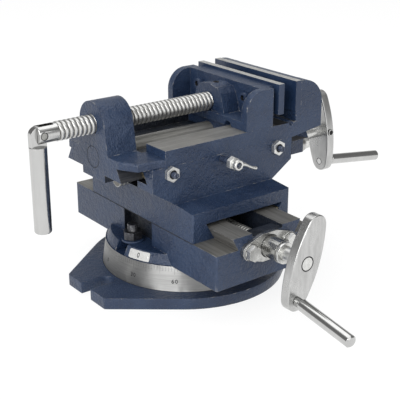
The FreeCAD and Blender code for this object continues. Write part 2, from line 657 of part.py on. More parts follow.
def make_slide_lock():
    """Clamping screw through the saddle wall and its small cast lever."""
    slope = "tenon_undercut / tenon_height"
    tip = "tenon_half + %s * (lock_drop + lock_radius) + gib_thick + fit" % slope
    level = "%s - lock_drop" % SEAM
    screw = body("lock_screw")
    hub_near = "-jaw_half - lock_stand - lever_hub_length / 2"
    extrude(screw, "XZ", hub_near, "-(%s)" % tip, [("lock_x", level, "lock_radius")])
    lever = body("lock_lever")
    hub_back = "-jaw_half - lock_stand + lever_hub_length / 2"
    extrude(lever, "XZ", hub_near, hub_back, [("lock_x", level, "lever_hub_radius")])
    root = "lever_hub_radius * 0.6"
    tip_half = "lever_eye_radius * 0.8"
    wing = [("0", "-(%s)" % root), ("lever_length", "-lever_drop - %s" % tip_half),
            ("lever_length", "-lever_drop + %s" % tip_half), ("0", root), ("-lever_tail", tip_half),
            ("-lever_tail", "-(%s)" % tip_half)]
    arm = [("lock_x + %s" % x, "%s + %s" % (level, y)) for x, y in wing]
    arm_near = "%s + lever_hub_length * 0.2" % hub_near
    arm_far = "%s + lever_hub_length * 0.6" % hub_near
    extrude(lever, "XZ", arm_near, arm_far, [arm])
    extrude(lever, "XZ", arm_near, arm_far, [("lock_x + lever_length", "%s - lever_drop" % level, "lever_eye_radius")])
    extrude(lever, "XZ", arm_near, arm_far, [("lock_x - lever_tail", level, "lever_eye_radius")])
    extrude(lever, "XZ", hub_near, hub_back, [("lock_x", level, "lock_radius + fit")], cut=True)


def make_screw_nuts():
    """Bronze nuts of the two lead screws with the screws that hold them on the saddle."""
    upper = body("upper_screw_nut")
    top = "%s - keel_boss_drop - side_gap" % TENON_FOOT
    foot = NUT_SEAT
    extrude(upper, "YZ", "-nut_block_length / 2 + side_gap", "nut_block_length / 2 - side_gap",
            [box("-nut_block_half", "nut_block_half", foot, top)])
    extrude(upper, "YZ", "-nut_block_length / 2", "nut_block_length / 2",
            [("0", UPPER_AXIS, "lead_radius + fit")], cut=True)
    lower = body("lower_screw_nut")
    bite = "%s + lead_radius + nut_seat_gap" % LOWER_AXIS
    extrude(lower, "XZ", "-nut_block_length / 2", "nut_block_length / 2",
            [box("-nut_block_half", "nut_block_half", "%s - nut_block_half + nut_seat_gap" % LOWER_AXIS, SADDLE_ROOF)])
    extrude(lower, "XZ", "-nut_block_length / 2 - 1", "nut_block_length / 2 + 1",
            [("0", LOWER_AXIS, "lead_radius + fit")], cut=True)
    extrude(lower, "XY", bite, SADDLE_ROOF + " + 1",
            [("0", "%snut_screw_offset" % side, "nut_screw_radius + fit") for side in ("", "-")], cut=True)
    screws = body("lower_nut_screws")
    extrude(screws, "XY", bite, foot,
            [("0", "%snut_screw_offset" % side, "nut_screw_radius") for side in ("", "-")])
    # cap screws hold the upper nut from above, beside the lead screw
    corners = [("%snut_screw_along" % side, "%snut_screw_aside" % side) for side in ("", "-")]
    extrude(upper, "XY", foot, top, [(x, y, "nut_screw_radius + fit") for x, y in corners], cut=True)
    fixings = body("upper_nut_screws")
    extrude(fixings, "XY", "%s - nut_screw_bite" % foot, top, [(x, y, "nut_screw_radius") for x, y in corners])


def make_vise_body():
    """Vise bed with dovetail tenon, rails, screw housing, fixed jaw and bracket pad."""
    made = body("vise_body")
    keel_foot = "%s - keel_trough_depth" % VISE_RAIL
    tenon = [("-tenon_half", SEAM), ("-tenon_half - tenon_undercut", TENON_FOOT), ("-keel_boss_half", TENON_FOOT),
             ("-keel_boss_half", TENON_FOOT + " - keel_boss_drop"), ("keel_boss_half", TENON_FOOT + " - keel_boss_drop"),
             ("keel_boss_half", TENON_FOOT), ("tenon_half + tenon_undercut", TENON_FOOT), ("tenon_half", SEAM)]
    extrude(made, "YZ", "-body_front", "body_back", [tenon])
    extrude(made, "YZ", "-rail_start", "body_back", [box("-jaw_half", "jaw_half", SEAM, VISE_RAIL)])
    # fixed jaw block with its raised underside behind the tenon
    ledge = "%s + ledge_inset" % FIXED_FACE
    back = [("fixed_jaw_front", PLATE_FOOT), (ledge, PLATE_FOOT), (ledge, VISE_RAIL), ("fixed_neck_front", VISE_RAIL),
            ("fixed_neck_front", SEAM + " + 1"), ("body_back", SEAM + " + 1"), ("body_back", FIXED_TOP),
            ("fixed_jaw_front", FIXED_TOP)]
    extrude(made, "XZ", "-jaw_half", "jaw_half", [back])
    soften(made, "jaw_crown", lambda edge: runs_along(edge, "Y") and edge.CenterOfMass.x > SIZES["body_back"] - 0.1
           and edge.CenterOfMass.z > edge_high(made) - 0.1)
    pocket = box("fixed_jaw_front + fixed_wall", "body_back + 1", VISE_RAIL + " + fixed_floor", FIXED_TOP + " + 1")
    extrude(made, "XZ", "-jaw_half + fixed_cheek", "jaw_half - fixed_cheek", [pocket], cut=True)
    under = [("wall_reach + 2", SEAM), ("body_back + 1", SEAM + " + back_rise"), ("body_back + 1", SEAM + " - 1"),
             ("wall_reach + 2", SEAM + " - 1")]
    extrude(made, "XZ", "tenon_half", "jaw_half + 1", [under], cut=True)
    extrude(made, "XZ", "-jaw_half - 1", "-tenon_half", [under], cut=True)
    # front web below the housing, with large rounded corners in plan
    web_top = "%s + web_level" % SEAM
    web_half = "jaw_half - web_inset"
    extrude(made, "XY", SEAM, web_top,
            [[("-body_front", "-(%s) + web_corner" % web_half), ("-body_front + web_corner * 0.6", "-(%s)" % web_half),
              ("-rail_start + 1", "-jaw_half"), ("-rail_start + 1", "jaw_half"),
              ("-body_front + web_corner * 0.6", web_half), ("-body_front", "%s - web_corner" % web_half)]])
    web_high = (SIZES["plate_thick"] + SIZES["drum_height"] + SIZES["slide_height"] + SIZES["saddle_height"]
                + SIZES["web_level"])
    soften(made, "web_edge", lambda edge: abs(edge.CenterOfMass.z - web_high) < 0.01
           and edge.CenterOfMass.x < -SIZES["rail_start"] and abs(edge.CenterOfMass.y) > SIZES["housing_foot_half"])
    # housing of the screw nut thread: round top on a body that widens to its foot
    extrude(made, "YZ", "-body_front", "-body_front + housing_length",
            [[("-housing_foot_half", web_top), ("housing_foot_half", web_top), ("housing_half", VISE_AXIS),
              ("-housing_half", VISE_AXIS)]])
    extrude(made, "YZ", "-body_front", "-body_front + housing_length", [("0", VISE_AXIS, "housing_half")])
    # trough between the rails, deeper along the middle for the keel of the jaw
    trough = [("-rail_inner", VISE_RAIL + " + 1"), ("-rail_inner", VISE_RAIL + " - trough_depth"),
              ("-keel_trough_half", VISE_RAIL + " - trough_depth"), ("-keel_trough_half", keel_foot),
              ("keel_trough_half", keel_foot), ("keel_trough_half", VISE_RAIL + " - trough_depth"),
              ("rail_inner", VISE_RAIL + " - trough_depth"), ("rail_inner", VISE_RAIL + " + 1")]
    extrude(made, "YZ", "-body_front + housing_length", "fixed_neck_front - jaw_groove", [trough], cut=True)
    # relief groove at the foot of the fixed jaw
    extrude(made, "XZ", "-jaw_half - 1", "jaw_half + 1", [("fixed_neck_front - jaw_groove", VISE_RAIL, "jaw_groove")],
            cut=True)
    # pad that carries the crank bracket, below the fixed jaw
    pad_low = "%s - flange_waist" % UPPER_AXIS
    pad_side = "%s - pad_flat_half" % UPPER_AXIS
    pad = [("-pad_half", pad_side), ("-pad_flat_half", pad_low), ("pad_flat_half", pad_low), ("pad_half", pad_side),
           ("pad_half", TENON_FOOT), ("-pad_half", TENON_FOOT)]
    extrude(made, "YZ", "%s - pad_depth" % UPPER_FACE, UPPER_FACE, [pad])
    extrude(made, "YZ", "body_back - 1", UPPER_FACE,
            [box("-pad_half", "pad_half", TENON_FOOT + " - 1", "%s + flange_waist + nut_seat_gap" % UPPER_AXIS)])
    # bores: screw thread, guide bar, lead screw, bracket bolts, plate screws
    extrude(made, "YZ", "-body_front - 1", "-body_front + housing_length + 1", [("0", VISE_AXIS, "screw_radius + screw_fit")],
            cut=True)
    extrude(made, "YZ", "-body_front - 1", "fixed_neck_front + bar_radius", [("0", BAR_AXIS, "bar_radius")], cut=True)
    extrude(made, "YZ", "%s - pad_depth - 1" % UPPER_FACE, UPPER_FACE + " + 1",
            [("0", UPPER_AXIS, "lead_radius + lead_clearance")], cut=True)
    holes = [("%sbolt_spacing / 2" % side, UPPER_AXIS, "bolt_radius") for side in ("", "-")]
    extrude(made, "YZ", "%s + flange_thick + washer_thick - bolt_length" % UPPER_FACE, UPPER_FACE + " + 1", holes, cut=True)
    shanks = [("%splate_screw_y" % side, PLATE_AXIS, "plate_screw_radius + fit") for side in ("", "-")]
    extrude(made, "YZ", "fixed_jaw_front - 1", "fixed_jaw_front + fixed_wall + 1", shanks, cut=True)


def edge_high(made):
    """Give the height of a body's highest point."""
    return made.Shape.BoundBox.ZMax


def make_jaw_plates():
    """Ground jaw plates with the cap screws that hold them from behind."""
    for name, front, back, seat_face, wall in (
            ("fixed", FIXED_FACE, "fixed_jaw_front", "fixed_jaw_front", 1),
            ("movable", PAD_FRONT, MOVING_FACE, PAD_FRONT, -1)):
        plate = body(name + "_jaw_plate")
        extrude(plate, "YZ", front, back, [box("-jaw_half", "jaw_half", PLATE_FOOT, PLATE_TOP)])
        centres = ["%splate_screw_y" % side for side in ("", "-")]
        screws = body(name + "_jaw_screws")
        head = [(y, PLATE_AXIS, "plate_screw_head") for y in centres]
        shank = [(y, PLATE_AXIS, "plate_screw_radius") for y in centres]
        bore = [(y, PLATE_AXIS, "plate_screw_radius + fit") for y in centres]
        sockets = [hexagon(y, PLATE_AXIS, "socket_across") for y in centres]
        if wall > 0:
            under = "%s + fixed_wall" % seat_face
            end = under + " + plate_screw_head_height"
            extrude(screws, "YZ", under, end, head)
            extrude(screws, "YZ", end + " - socket_depth", end + " + 1", sockets, cut=True)
            extrude(screws, "YZ", "%s - jaw_plate_thick + plate_skin + side_gap" % seat_face, under, shank)
            extrude(plate, "YZ", "%s - jaw_plate_thick + plate_skin" % seat_face, seat_face + " + 1", bore, cut=True)
        else:
            under = "%s - jaw_wall" % CAST_FRONT
            end = under + " - plate_screw_head_height"
            extrude(screws, "YZ", end, under, head)
            extrude(screws, "YZ", end + " - 1", end + " + socket_depth", sockets, cut=True)
            extrude(screws, "YZ", under, "%s + jaw_plate_thick - plate_skin - side_gap" % seat_face, shank)
            extrude(plate, "YZ", seat_face + " - 1", "%s + jaw_plate_thick - plate_skin" % seat_face, bore, cut=True)


def make_guide_bar():
    """Round bar under the screw that carries and guides the movable jaw."""
    made = body("guide_bar")
    turn(made, "X", [("-body_front", "0"), ("-body_front", "bar_radius"), ("fixed_neck_front + bar_radius", "bar_radius"),
                     ("fixed_neck_front + bar_radius", "0")], at=("0", BAR_AXIS))


def make_movable_jaw():
    """Movable jaw: wall, two arched cheeks, screw boss and keel round the guide bar."""
    made = body("movable_jaw")
    extrude(made, "XY", VISE_RAIL, VISE_RAIL + " + jaw_floor", [box(JAW_BACK, CAST_FRONT, "-jaw_half", "jaw_half")])
    extrude(made, "XY", VISE_RAIL, JAW_TOP, [box("%s - jaw_wall" % CAST_FRONT, CAST_FRONT, "-jaw_half", "jaw_half")])
    cheeks = [("%s" % JAW_BACK, VISE_RAIL), (CAST_FRONT, VISE_RAIL), (CAST_FRONT, JAW_TOP), (JAW_BACK, JAW_TOP)]
    extrude(made, "XZ", "-jaw_half", "-jaw_half + cheek_thick", [cheeks])
    extrude(made, "XZ", "jaw_half - cheek_thick", "jaw_half", [cheeks])
    soften(made, "cheek_crown", lambda edge: runs_along(edge, "Y") and edge.CenterOfMass.z > edge_high(made) - 0.1
           and edge.CenterOfMass.x < made.Shape.BoundBox.XMin + 0.1)
    # boss for the screw end, carried down to the jaw floor
    boss_face = "%s + boss_front" % JAW_BACK
    shoulder = "%s + boss_rise" % VISE_AXIS
    extrude(made, "YZ", boss_face, CAST_FRONT, [("0", VISE_AXIS, "boss_radius")])
    extrude(made, "YZ", boss_face, CAST_FRONT,
            [[("-boss_foot", VISE_RAIL), ("boss_foot", VISE_RAIL), ("boss_foot", VISE_RAIL + " + jaw_floor"),
              ("boss_shoulder", "%s - boss_corner" % shoulder), ("boss_shoulder - boss_corner", shoulder),
              ("-boss_shoulder + boss_corner", shoulder), ("-boss_shoulder", "%s - boss_corner" % shoulder),
              ("-boss_foot", VISE_RAIL + " + jaw_floor")]])
    # front pad that the plate seats on, short of the cheeks
    extrude(made, "YZ", CAST_FRONT, PAD_FRONT,
            [box("-jaw_half + cheek_thick", "jaw_half - cheek_thick", PLATE_FOOT, JAW_TOP)])
    # keel between the rails with the bore of the guide bar
    keel = [("-rail_inner + keel_gap", VISE_RAIL), ("-rail_inner + keel_gap", VISE_RAIL + " - trough_depth + keel_gap"),
            ("-keel_trough_half + keel_gap", VISE_RAIL + " - trough_depth + keel_gap"),
            ("-keel_trough_half + keel_gap", VISE_RAIL + " - keel_trough_depth + keel_gap"),
            ("keel_trough_half - keel_gap", VISE_RAIL + " - keel_trough_depth + keel_gap"),
            ("keel_trough_half - keel_gap", VISE_RAIL + " - trough_depth + keel_gap"),
            ("rail_inner - keel_gap", VISE_RAIL + " - trough_depth + keel_gap"), ("rail_inner - keel_gap", VISE_RAIL)]
    extrude(made, "YZ", "%s + boss_front" % JAW_BACK, CAST_FRONT, [keel])
    extrude(made, "YZ", JAW_BACK + " - 1", PAD_FRONT + " + 1", [("0", BAR_AXIS, "bar_radius + screw_fit")], cut=True)
    # arched notches over the inner edges of the rails, and the oil hole above the screw end
    notches = [("%s(rail_inner + jaw_notch_aside)" % side, VISE_RAIL, "jaw_notch_radius") for side in ("", "-")]
    extrude(made, "YZ", JAW_BACK + " - 1", PAD_FRONT + " + 1", notches, cut=True)
    oil_hole = [("%s + oil_hole_setback" % JAW_BACK, "0", "oil_hole_radius")]
    extrude(made, "XY", VISE_AXIS, JAW_TOP + " + 1", oil_hole, cut=True)
    # bore of the screw end, cross pins and plate screws
    extrude(made, "YZ", JAW_BACK, "%s + boss_front + screw_pilot_length + 0.5" % JAW_BACK,
            [("0", VISE_AXIS, "screw_pilot_radius + screw_fit")], cut=True)
    extrude(made, "YZ", JAW_BACK + " - 1", boss_face, [("0", VISE_AXIS, "screw_radius + side_gap")], cut=True)
    pins = retainer_places()
    extrude(made, "XZ", "-boss_radius - 1", "boss_radius + 1", pins, cut=True)
    under = "%s - jaw_wall" % CAST_FRONT
    shanks = [("%splate_screw_y" % side, PLATE_AXIS, "plate_screw_radius + fit") for side in ("", "-")]
    extrude(made, "YZ", under + " - 1", PAD_FRONT + " + 1", shanks, cut=True)
    retainers = body("screw_retaining_pins")
    extrude(retainers, "XZ", "-boss_radius + 1", "boss_radius - 1", pins)


def retainer_places():
    """Centres of the two cross pins that lie in the neck of the screw."""
    along = "%s + boss_front + screw_pilot_length / 2" % JAW_BACK
    lift = "screw_neck_radius + retainer_radius + fit"
    return [(along, "%s %s (%s)" % (VISE_AXIS, sign, lift), "retainer_radius") for sign in ("+", "-")]


def make_vise_screw():
    """Vise screw with clevis end, and the neck that the cross pins hold."""
    made = body("vise_screw")
    shoulder = "%s + boss_front - side_gap" % JAW_BACK
    middle = "%s + boss_front + screw_pilot_length / 2" % JAW_BACK
    end = "-screw_thread_end - clevis_length"
    turn(made, "X", [(end, "0"), (end, "clevis_radius"), ("-screw_thread_end", "clevis_radius"),
                     ("-screw_thread_end", "screw_radius"), (shoulder, "screw_radius"), (shoulder, "screw_pilot_radius"),
                     (middle + " - screw_neck_length / 2", "screw_pilot_radius"),
                     (middle + " - screw_neck_length / 2", "screw_neck_radius"),
                     (middle + " + screw_neck_length / 2", "screw_neck_radius"),
                     (middle + " + screw_neck_length / 2", "screw_pilot_radius"),
                     ("%s + boss_front + screw_pilot_length" % JAW_BACK, "screw_pilot_radius"),
                     ("%s + boss_front + screw_pilot_length" % JAW_BACK, "0")], at=("0", VISE_AXIS))
    soften(made, "clevis_edge", lambda edge: edge.CenterOfMass.x < made.Shape.BoundBox.XMin + 0.1)
    slot_end = "%s + handle_radius + hinge_offset + tongue_swing_gap" % HINGE_X
    extrude(made, "XZ", "-clevis_slot / 2", "clevis_slot / 2",
            [box("-screw_thread_end - clevis_length - 1", slot_end, VISE_AXIS + " - screw_radius - 1",
                 VISE_AXIS + " + screw_radius + 1")], cut=True)
    extrude(made, "XZ", "-clevis_radius - 1", "clevis_radius + 1", [(HINGE_X, VISE_AXIS, "hinge_pin_radius")], cut=True)
    pin = body("handle_hinge_pin")
    extrude(pin, "XZ", "-clevis_radius + 0.3", "clevis_radius - 0.3", [(HINGE_X, VISE_AXIS, "hinge_pin_radius")])
    handle = body("vise_handle")
    shoulder = "%s - handle_shoulder" % VISE_AXIS
    bar_x = "%s - hinge_offset" % HINGE_X
    turn(handle, "Z", [("0", shoulder + " - handle_length + handle_shoulder"),
                       ("handle_radius", shoulder + " - handle_length + handle_shoulder"),
                       ("handle_radius", shoulder), ("0", shoulder)], at=(bar_x, "0"))
    soften(handle, "handle_edge", lambda edge: edge.CenterOfMass.z < handle.Shape.BoundBox.ZMin + 0.1)
    chord = "sqrt(handle_radius * handle_radius - tongue_thick * tongue_thick / 4)"
    extrude(handle, "XZ", "-tongue_thick / 2", "tongue_thick / 2",
            [box("%s - %s" % (bar_x, chord), "%s + %s" % (bar_x, chord), shoulder + " - 2", VISE_AXIS)])
    extrude(handle, "XZ", "-tongue_thick / 2", "tongue_thick / 2", [(bar_x, VISE_AXIS, chord)])
    extrude(handle, "XZ", "-tongue_thick / 2 - 1", "tongue_thick / 2 + 1",
            [(HINGE_X, VISE_AXIS, "hinge_pin_radius + fit")], cut=True)


def arm_outline(owner, level):
    """Sketch the lens-shaped outline of a crank arm: two end arcs and two wide side arcs, all tangent."""
    made = blank_sketch(owner, "XY", ("0", "0", level))
    span = SIZES["arm_end_span"]
    tip = SIZES["arm_end_radius"]
    swell = SIZES["arm_half_width"] - tip
    offset = (span * span - swell * swell) / (2 * swell)
    side = offset + SIZES["arm_half_width"]
    lean = math.atan2(span, offset)
    up = FreeCAD.Vector(0, 0, 1)
    arcs = ((-offset, 0, side, -lean, lean), (0, span, tip, lean, math.pi - lean),
            (offset, 0, side, math.pi - lean, math.pi + lean), (0, -span, tip, math.pi + lean, 2 * math.pi - lean))
    for x, y, radius, start, end in arcs:
        made.addGeometry(Part.ArcOfCircle(Part.Circle(FreeCAD.Vector(x, y, 0), up, radius), start, end), False)
    for i in range(4):
        made.addConstraint(Sketcher.Constraint("Coincident", i, 2, (i + 1) % 4, 1))
    swell_text = "(arm_half_width - arm_end_radius)"
    offset_text = "((arm_end_span * arm_end_span - %s * %s) / (2 * %s))" % (swell_text, swell_text, swell_text)
    share = "arm_end_radius / (%s + %s)" % (offset_text, swell_text)
    touch_x = "%s * %s" % (offset_text, share)
    touch_y = "arm_end_span * (1 + %s)" % share
    corners = ((touch_x, "-(%s)" % touch_y), (touch_x, touch_y), ("-(%s)" % touch_x, touch_y),
               ("-(%s)" % touch_x, "-(%s)" % touch_y))
    radii = ("%s + arm_half_width" % offset_text, "arm_end_radius")
    for i, (x, y) in enumerate(corners):
        start = made.Geometry[i].StartPoint
        pin_point(made, i, 1, x, y, (start.x, start.y))
        number = made.addConstraint(Sketcher.Constraint("Radius", i, arcs[i][2]))
        made.setExpression("Constraints[%d]" % number, bound(radii[i % 2]))
    return made


def seat_on_axis(made, axis, spin=0.0):
    """Place a body built on its own axis on one of the two lead screw axes, turned by spin degrees.

    On its own axis z = 0 is the face that carries the bracket and +z points at the user.
    """
    x, y, z, frame = axis
    seat(made, x, y, z, frame.multiply(FreeCAD.Rotation(AXES["Z"], spin)))


def make_bracket(name, axis):
    """Diamond flange with its boss, bush, grub screw, bolts and washers."""
    eyes = ["%sbolt_spacing / 2" % side for side in ("", "-")]
    bracket = body(name + "_screw_bracket")
    end = "bolt_spacing / 2 + 2"
    edge = "flange_eye * 0.97"
    extrude(bracket, "XY", "0", "flange_thick",
            [[("-(%s)" % end, edge), ("-flange_flat", "flange_waist"), ("flange_flat", "flange_waist"), (end, edge),
              (end, "-" + edge), ("flange_flat", "-flange_waist"), ("-flange_flat", "-flange_waist"),
              ("-(%s)" % end, "-" + edge)]])
    extrude(bracket, "XY", "0", "flange_thick", [(x, "0", "flange_eye") for x in eyes])
    extrude(bracket, "XY", "0", "bracket_length", [("0", "0", "bracket_radius")])
    bush_radius = "journal_radius + bush_wall"
    extrude(bracket, "XY", "0", "bracket_length", [("0", "0", bush_radius)], cut=True)
    extrude(bracket, "XY", "0", "flange_thick", [(x, "0", "bolt_radius + fit") for x in eyes], cut=True)
    # the grub screw's hole runs out from the axis, aside from straight down
    hole = blank_sketch(bracket, "XZ")
    lean(hole, -AXES["Y"], "grub_aside")
    draw(hole, [("0", "grub_position", "grub_radius")])
    before = bracket.Shape.Volume
    pocket = bracket.newObject("PartDesign::Pocket", "Cut")
    pocket.Profile = hole
    pocket.setExpression("Length", bound("bracket_radius + 1"))
    pocket.Reversed = True
    settle(bracket, pocket, before)
    seat_on_axis(bracket, axis)
    bush = body(name + "_screw_bush")
    extrude(bush, "XY", "0", "bracket_length + bush_stand", [("0", "0", bush_radius)])
    extrude(bush, "XY", "0", "bracket_length + bush_stand", [("0", "0", "journal_radius + fit")], cut=True)
    seat_on_axis(bush, axis)
    grub = body(name + "_grub_screw")
    extrude(grub, "XZ", "-bracket_radius + side_gap", "-(%s)" % bush_radius, [("0", "grub_position", "grub_radius")])
    seat_on_axis(grub, axis, -SIZES["grub_aside"])
    washers = body(name + "_bracket_washers")
    head = "flange_thick + washer_thick"
    extrude(washers, "XY", "flange_thick", head, [(x, "0", "washer_radius") for x in eyes])
    extrude(washers, "XY", "flange_thick", head, [(x, "0", "bolt_radius + fit") for x in eyes], cut=True)
    seat_on_axis(washers, axis)
    bolts = body(name + "_bracket_bolts")
    extrude(bolts, "XY", head, head + " + bolt_head_height", [hexagon(x, "0", "bolt_head_across", True) for x in eyes])
    extrude(bolts, "XY", head + " - bolt_length", head, [(x, "0", "bolt_radius") for x in eyes])
    seat_on_axis(bolts, axis)


def make_lead_screw(name, axis):
    """Lead screw with its journal, and the thrust collar against the bush."""
    arm_face = "%s_arm_reach + arm_thick" % name
    screw = body(name + "_lead_screw")
    length = "%s_lead_length" % name
    turn(screw, "Z", [("0", "-(%s)" % length), ("lead_radius", "-(%s)" % length), ("lead_radius", "-side_gap"),
                      ("journal_radius", "-side_gap"), ("journal_radius", arm_face), ("0", arm_face)])
    seat_on_axis(screw, axis)
    collar = body(name + "_thrust_collar")
    near = "bracket_length + bush_stand"
    extrude(collar, "XY", near, near + " + collar_length", [("0", "0", "collar_radius")])
    extrude(collar, "XY", near, near + " + collar_length", [("0", "0", "journal_radius")], cut=True)
    seat_on_axis(collar, axis)


def make_crank(name, axis):
    """Crank arm, its set screw and the leaning grip riveted to it."""
    reach = name + "_arm_reach"
    arm_face = "%s + arm_thick" % reach
    tilt = -SIZES[name + "_arm_tilt"]
    arm = body(name + "_crank_arm")
    pad = arm.newObject("PartDesign::Pad", "Pad")
    pad.Profile = arm_outline(arm, reach)
    pad.setExpression("Length", bound("arm_thick"))
    doc.recompute()
    soften(arm, "arm_edge", lambda edge: abs(edge.CenterOfMass.z - pad.Shape.BoundBox.ZMax) < 0.01
           or abs(edge.CenterOfMass.z - pad.Shape.BoundBox.ZMin) < 0.01)
    extrude(arm, "XY", reach, arm_face, [("0", "0", "journal_radius")], cut=True)
    extrude(arm, "XY", reach, arm_face, [("0", "-grip_offset", "grip_rivet_radius")], cut=True)
    level = "%s + arm_thick / 2" % reach
    extrude(arm, "YZ", "journal_radius", "arm_half_width + 1", [("0", level, "grub_radius")], cut=True)
    seat_on_axis(arm, axis, tilt)
    key = body(name + "_crank_set_screw")
    extrude(key, "YZ", "journal_radius", "arm_half_width - key_inset", [("0", level, "grub_radius")])
    seat_on_axis(key, axis, tilt)
    grip = body(name + "_crank_grip")
    extrude(grip, "XY", reach, arm_face + " + grip_seat + 1", [("0", "-grip_offset", "grip_rivet_radius")])
    # the grip leans outwards from its seat, away from the screw
    profile = blank_sketch(grip, "YZ", ("-grip_offset", arm_face, "0"))
    lean(profile, AXES["Z"], "grip_splay")
    end = name + "_grip_length"
    neck = "grip_seat + grip_neck_length"
    draw_polygon(profile, [("0", "grip_seat"), ("grip_neck_radius", "grip_seat"), ("grip_neck_radius", neck),
                           ("grip_radius", neck + " + grip_edge"), ("grip_radius", end + " - grip_edge"),
                           ("grip_radius - grip_edge", end), ("0", end)])
    leaning = grip.newObject("PartDesign::Revolution", "Turned")
    leaning.Profile = profile
    leaning.ReferenceAxis = (profile, ["V_Axis"])
    leaning.Angle = 360.0
    settle(grip, leaning, None)
    seat_on_axis(grip, axis, tilt)


def check_and_write():
    """Stop on any failed object, then write each sub-part to its own file."""
    doc.recompute()
    for item in doc.Objects:
        if "Invalid" in item.State or "Error" in item.State:
            raise ValueError("%s (%s) failed: %s" % (item.Label, item.Name, item.State))
    os.makedirs("parts", exist_ok=True)
    for made in NODES:
        shape = made.Shape
        if shape.isNull() or not shape.isValid():
            raise ValueError("%s has no valid shape" % made.Label)
        shape.exportStep("parts/%s.step" % made.Label)
        print("%-26s %d solid(s) %10.1f mm3" % (made.Label, len(shape.Solids), shape.Volume))


make_swivel_base()
make_swivel_clamp()
make_lower_slide()
make_index_plate()
make_saddle()
make_gibs()
make_slide_lock()
make_screw_nuts()
make_vise_body()
make_jaw_plates()
make_guide_bar()
make_movable_jaw()
make_vise_screw()
for drive, drive_axis in (("lower", ("0", "-slide_near", LOWER_AXIS, LOWER_FRAME)),
                          ("upper", (UPPER_FACE, "0", UPPER_AXIS, UPPER_FRAME))):
    make_bracket(drive, drive_axis)
    make_lead_screw(drive, drive_axis)
    make_crank(drive, drive_axis)
check_and_write()
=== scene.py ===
"""Looks of a cross slide vise: enamelled castings, ground ways, plated cranks and cut threads.

Lengths are metres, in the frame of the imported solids: Z up along the swivel axis, +X along the vise
screw towards the fixed jaw, -Y towards the crank of the lower slide.
"""

from __future__ import annotations

import logging
import math
from dataclasses import dataclass
from enum import Enum
from functools import cache
from typing import Callable, Iterable, Sequence

import bmesh
import bpy
from mathutils import Matrix, Vector

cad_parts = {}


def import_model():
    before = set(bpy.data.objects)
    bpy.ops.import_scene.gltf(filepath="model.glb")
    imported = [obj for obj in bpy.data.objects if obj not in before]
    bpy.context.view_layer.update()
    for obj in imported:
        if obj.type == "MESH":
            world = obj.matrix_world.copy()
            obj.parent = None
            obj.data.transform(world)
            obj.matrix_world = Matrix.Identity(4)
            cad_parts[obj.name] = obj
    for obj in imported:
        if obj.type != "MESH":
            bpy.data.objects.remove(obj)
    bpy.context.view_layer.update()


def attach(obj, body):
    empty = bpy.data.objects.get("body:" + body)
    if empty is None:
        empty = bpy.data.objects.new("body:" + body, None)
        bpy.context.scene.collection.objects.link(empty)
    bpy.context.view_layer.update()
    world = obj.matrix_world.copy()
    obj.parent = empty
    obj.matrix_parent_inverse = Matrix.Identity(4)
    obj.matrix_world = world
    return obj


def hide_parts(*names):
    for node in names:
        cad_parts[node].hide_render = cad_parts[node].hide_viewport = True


LOG = logging.getLogger("cross_slide_vise")
MM = 0.001
MERGE = 1e-6
ANY = (-math.inf, math.inf)
WHITE = (1.0, 1.0, 1.0, 1.0)

Point = tuple[float, float, float]
Span = tuple[float, float]
Outline = Sequence[tuple[float, float]]
Inputs = dict[str | int, object]
Socket = bpy.types.NodeSocket
Sockets = dict[str, Socket]
Shape = bmesh.types.BMesh


def mm(*values: float) -> tuple[float, ...]:
    """Turn millimetres into metres."""
    return tuple(value * MM for value in values)


def linear(code: str) -> tuple[float, float, float, float]:
    """Turn a hex colour as seen on screen into linear values.

    Args:
        code: six hex digits.

    Returns:
        Red, green, blue and a full alpha.
    """
    parts = [int(code[i:i + 2], 16) / 255 for i in (0, 2, 4)]
    values = [v / 12.92 if v <= 0.04045 else ((v + 0.055) / 1.055) ** 2.4 for v in parts]
    return values[0], values[1], values[2], 1.0


class Axis(Enum):
    """An axis of the frame, with its unit vector."""

    X = (1.0, 0.0, 0.0)
    Y = (0.0, 1.0, 0.0)
    Z = (0.0, 0.0, 1.0)

    @property
    def vector(self) -> Vector:
        """The axis as a vector."""
        return Vector(self.value)

    def spoke(self, angle: float) -> Vector:
        """Give the unit vector that stands across the axis at an angle."""
        side = Axis.X.vector if self is Axis.Z else Axis.Z.vector
        return side * math.cos(angle) + self.vector.cross(side) * math.sin(angle)


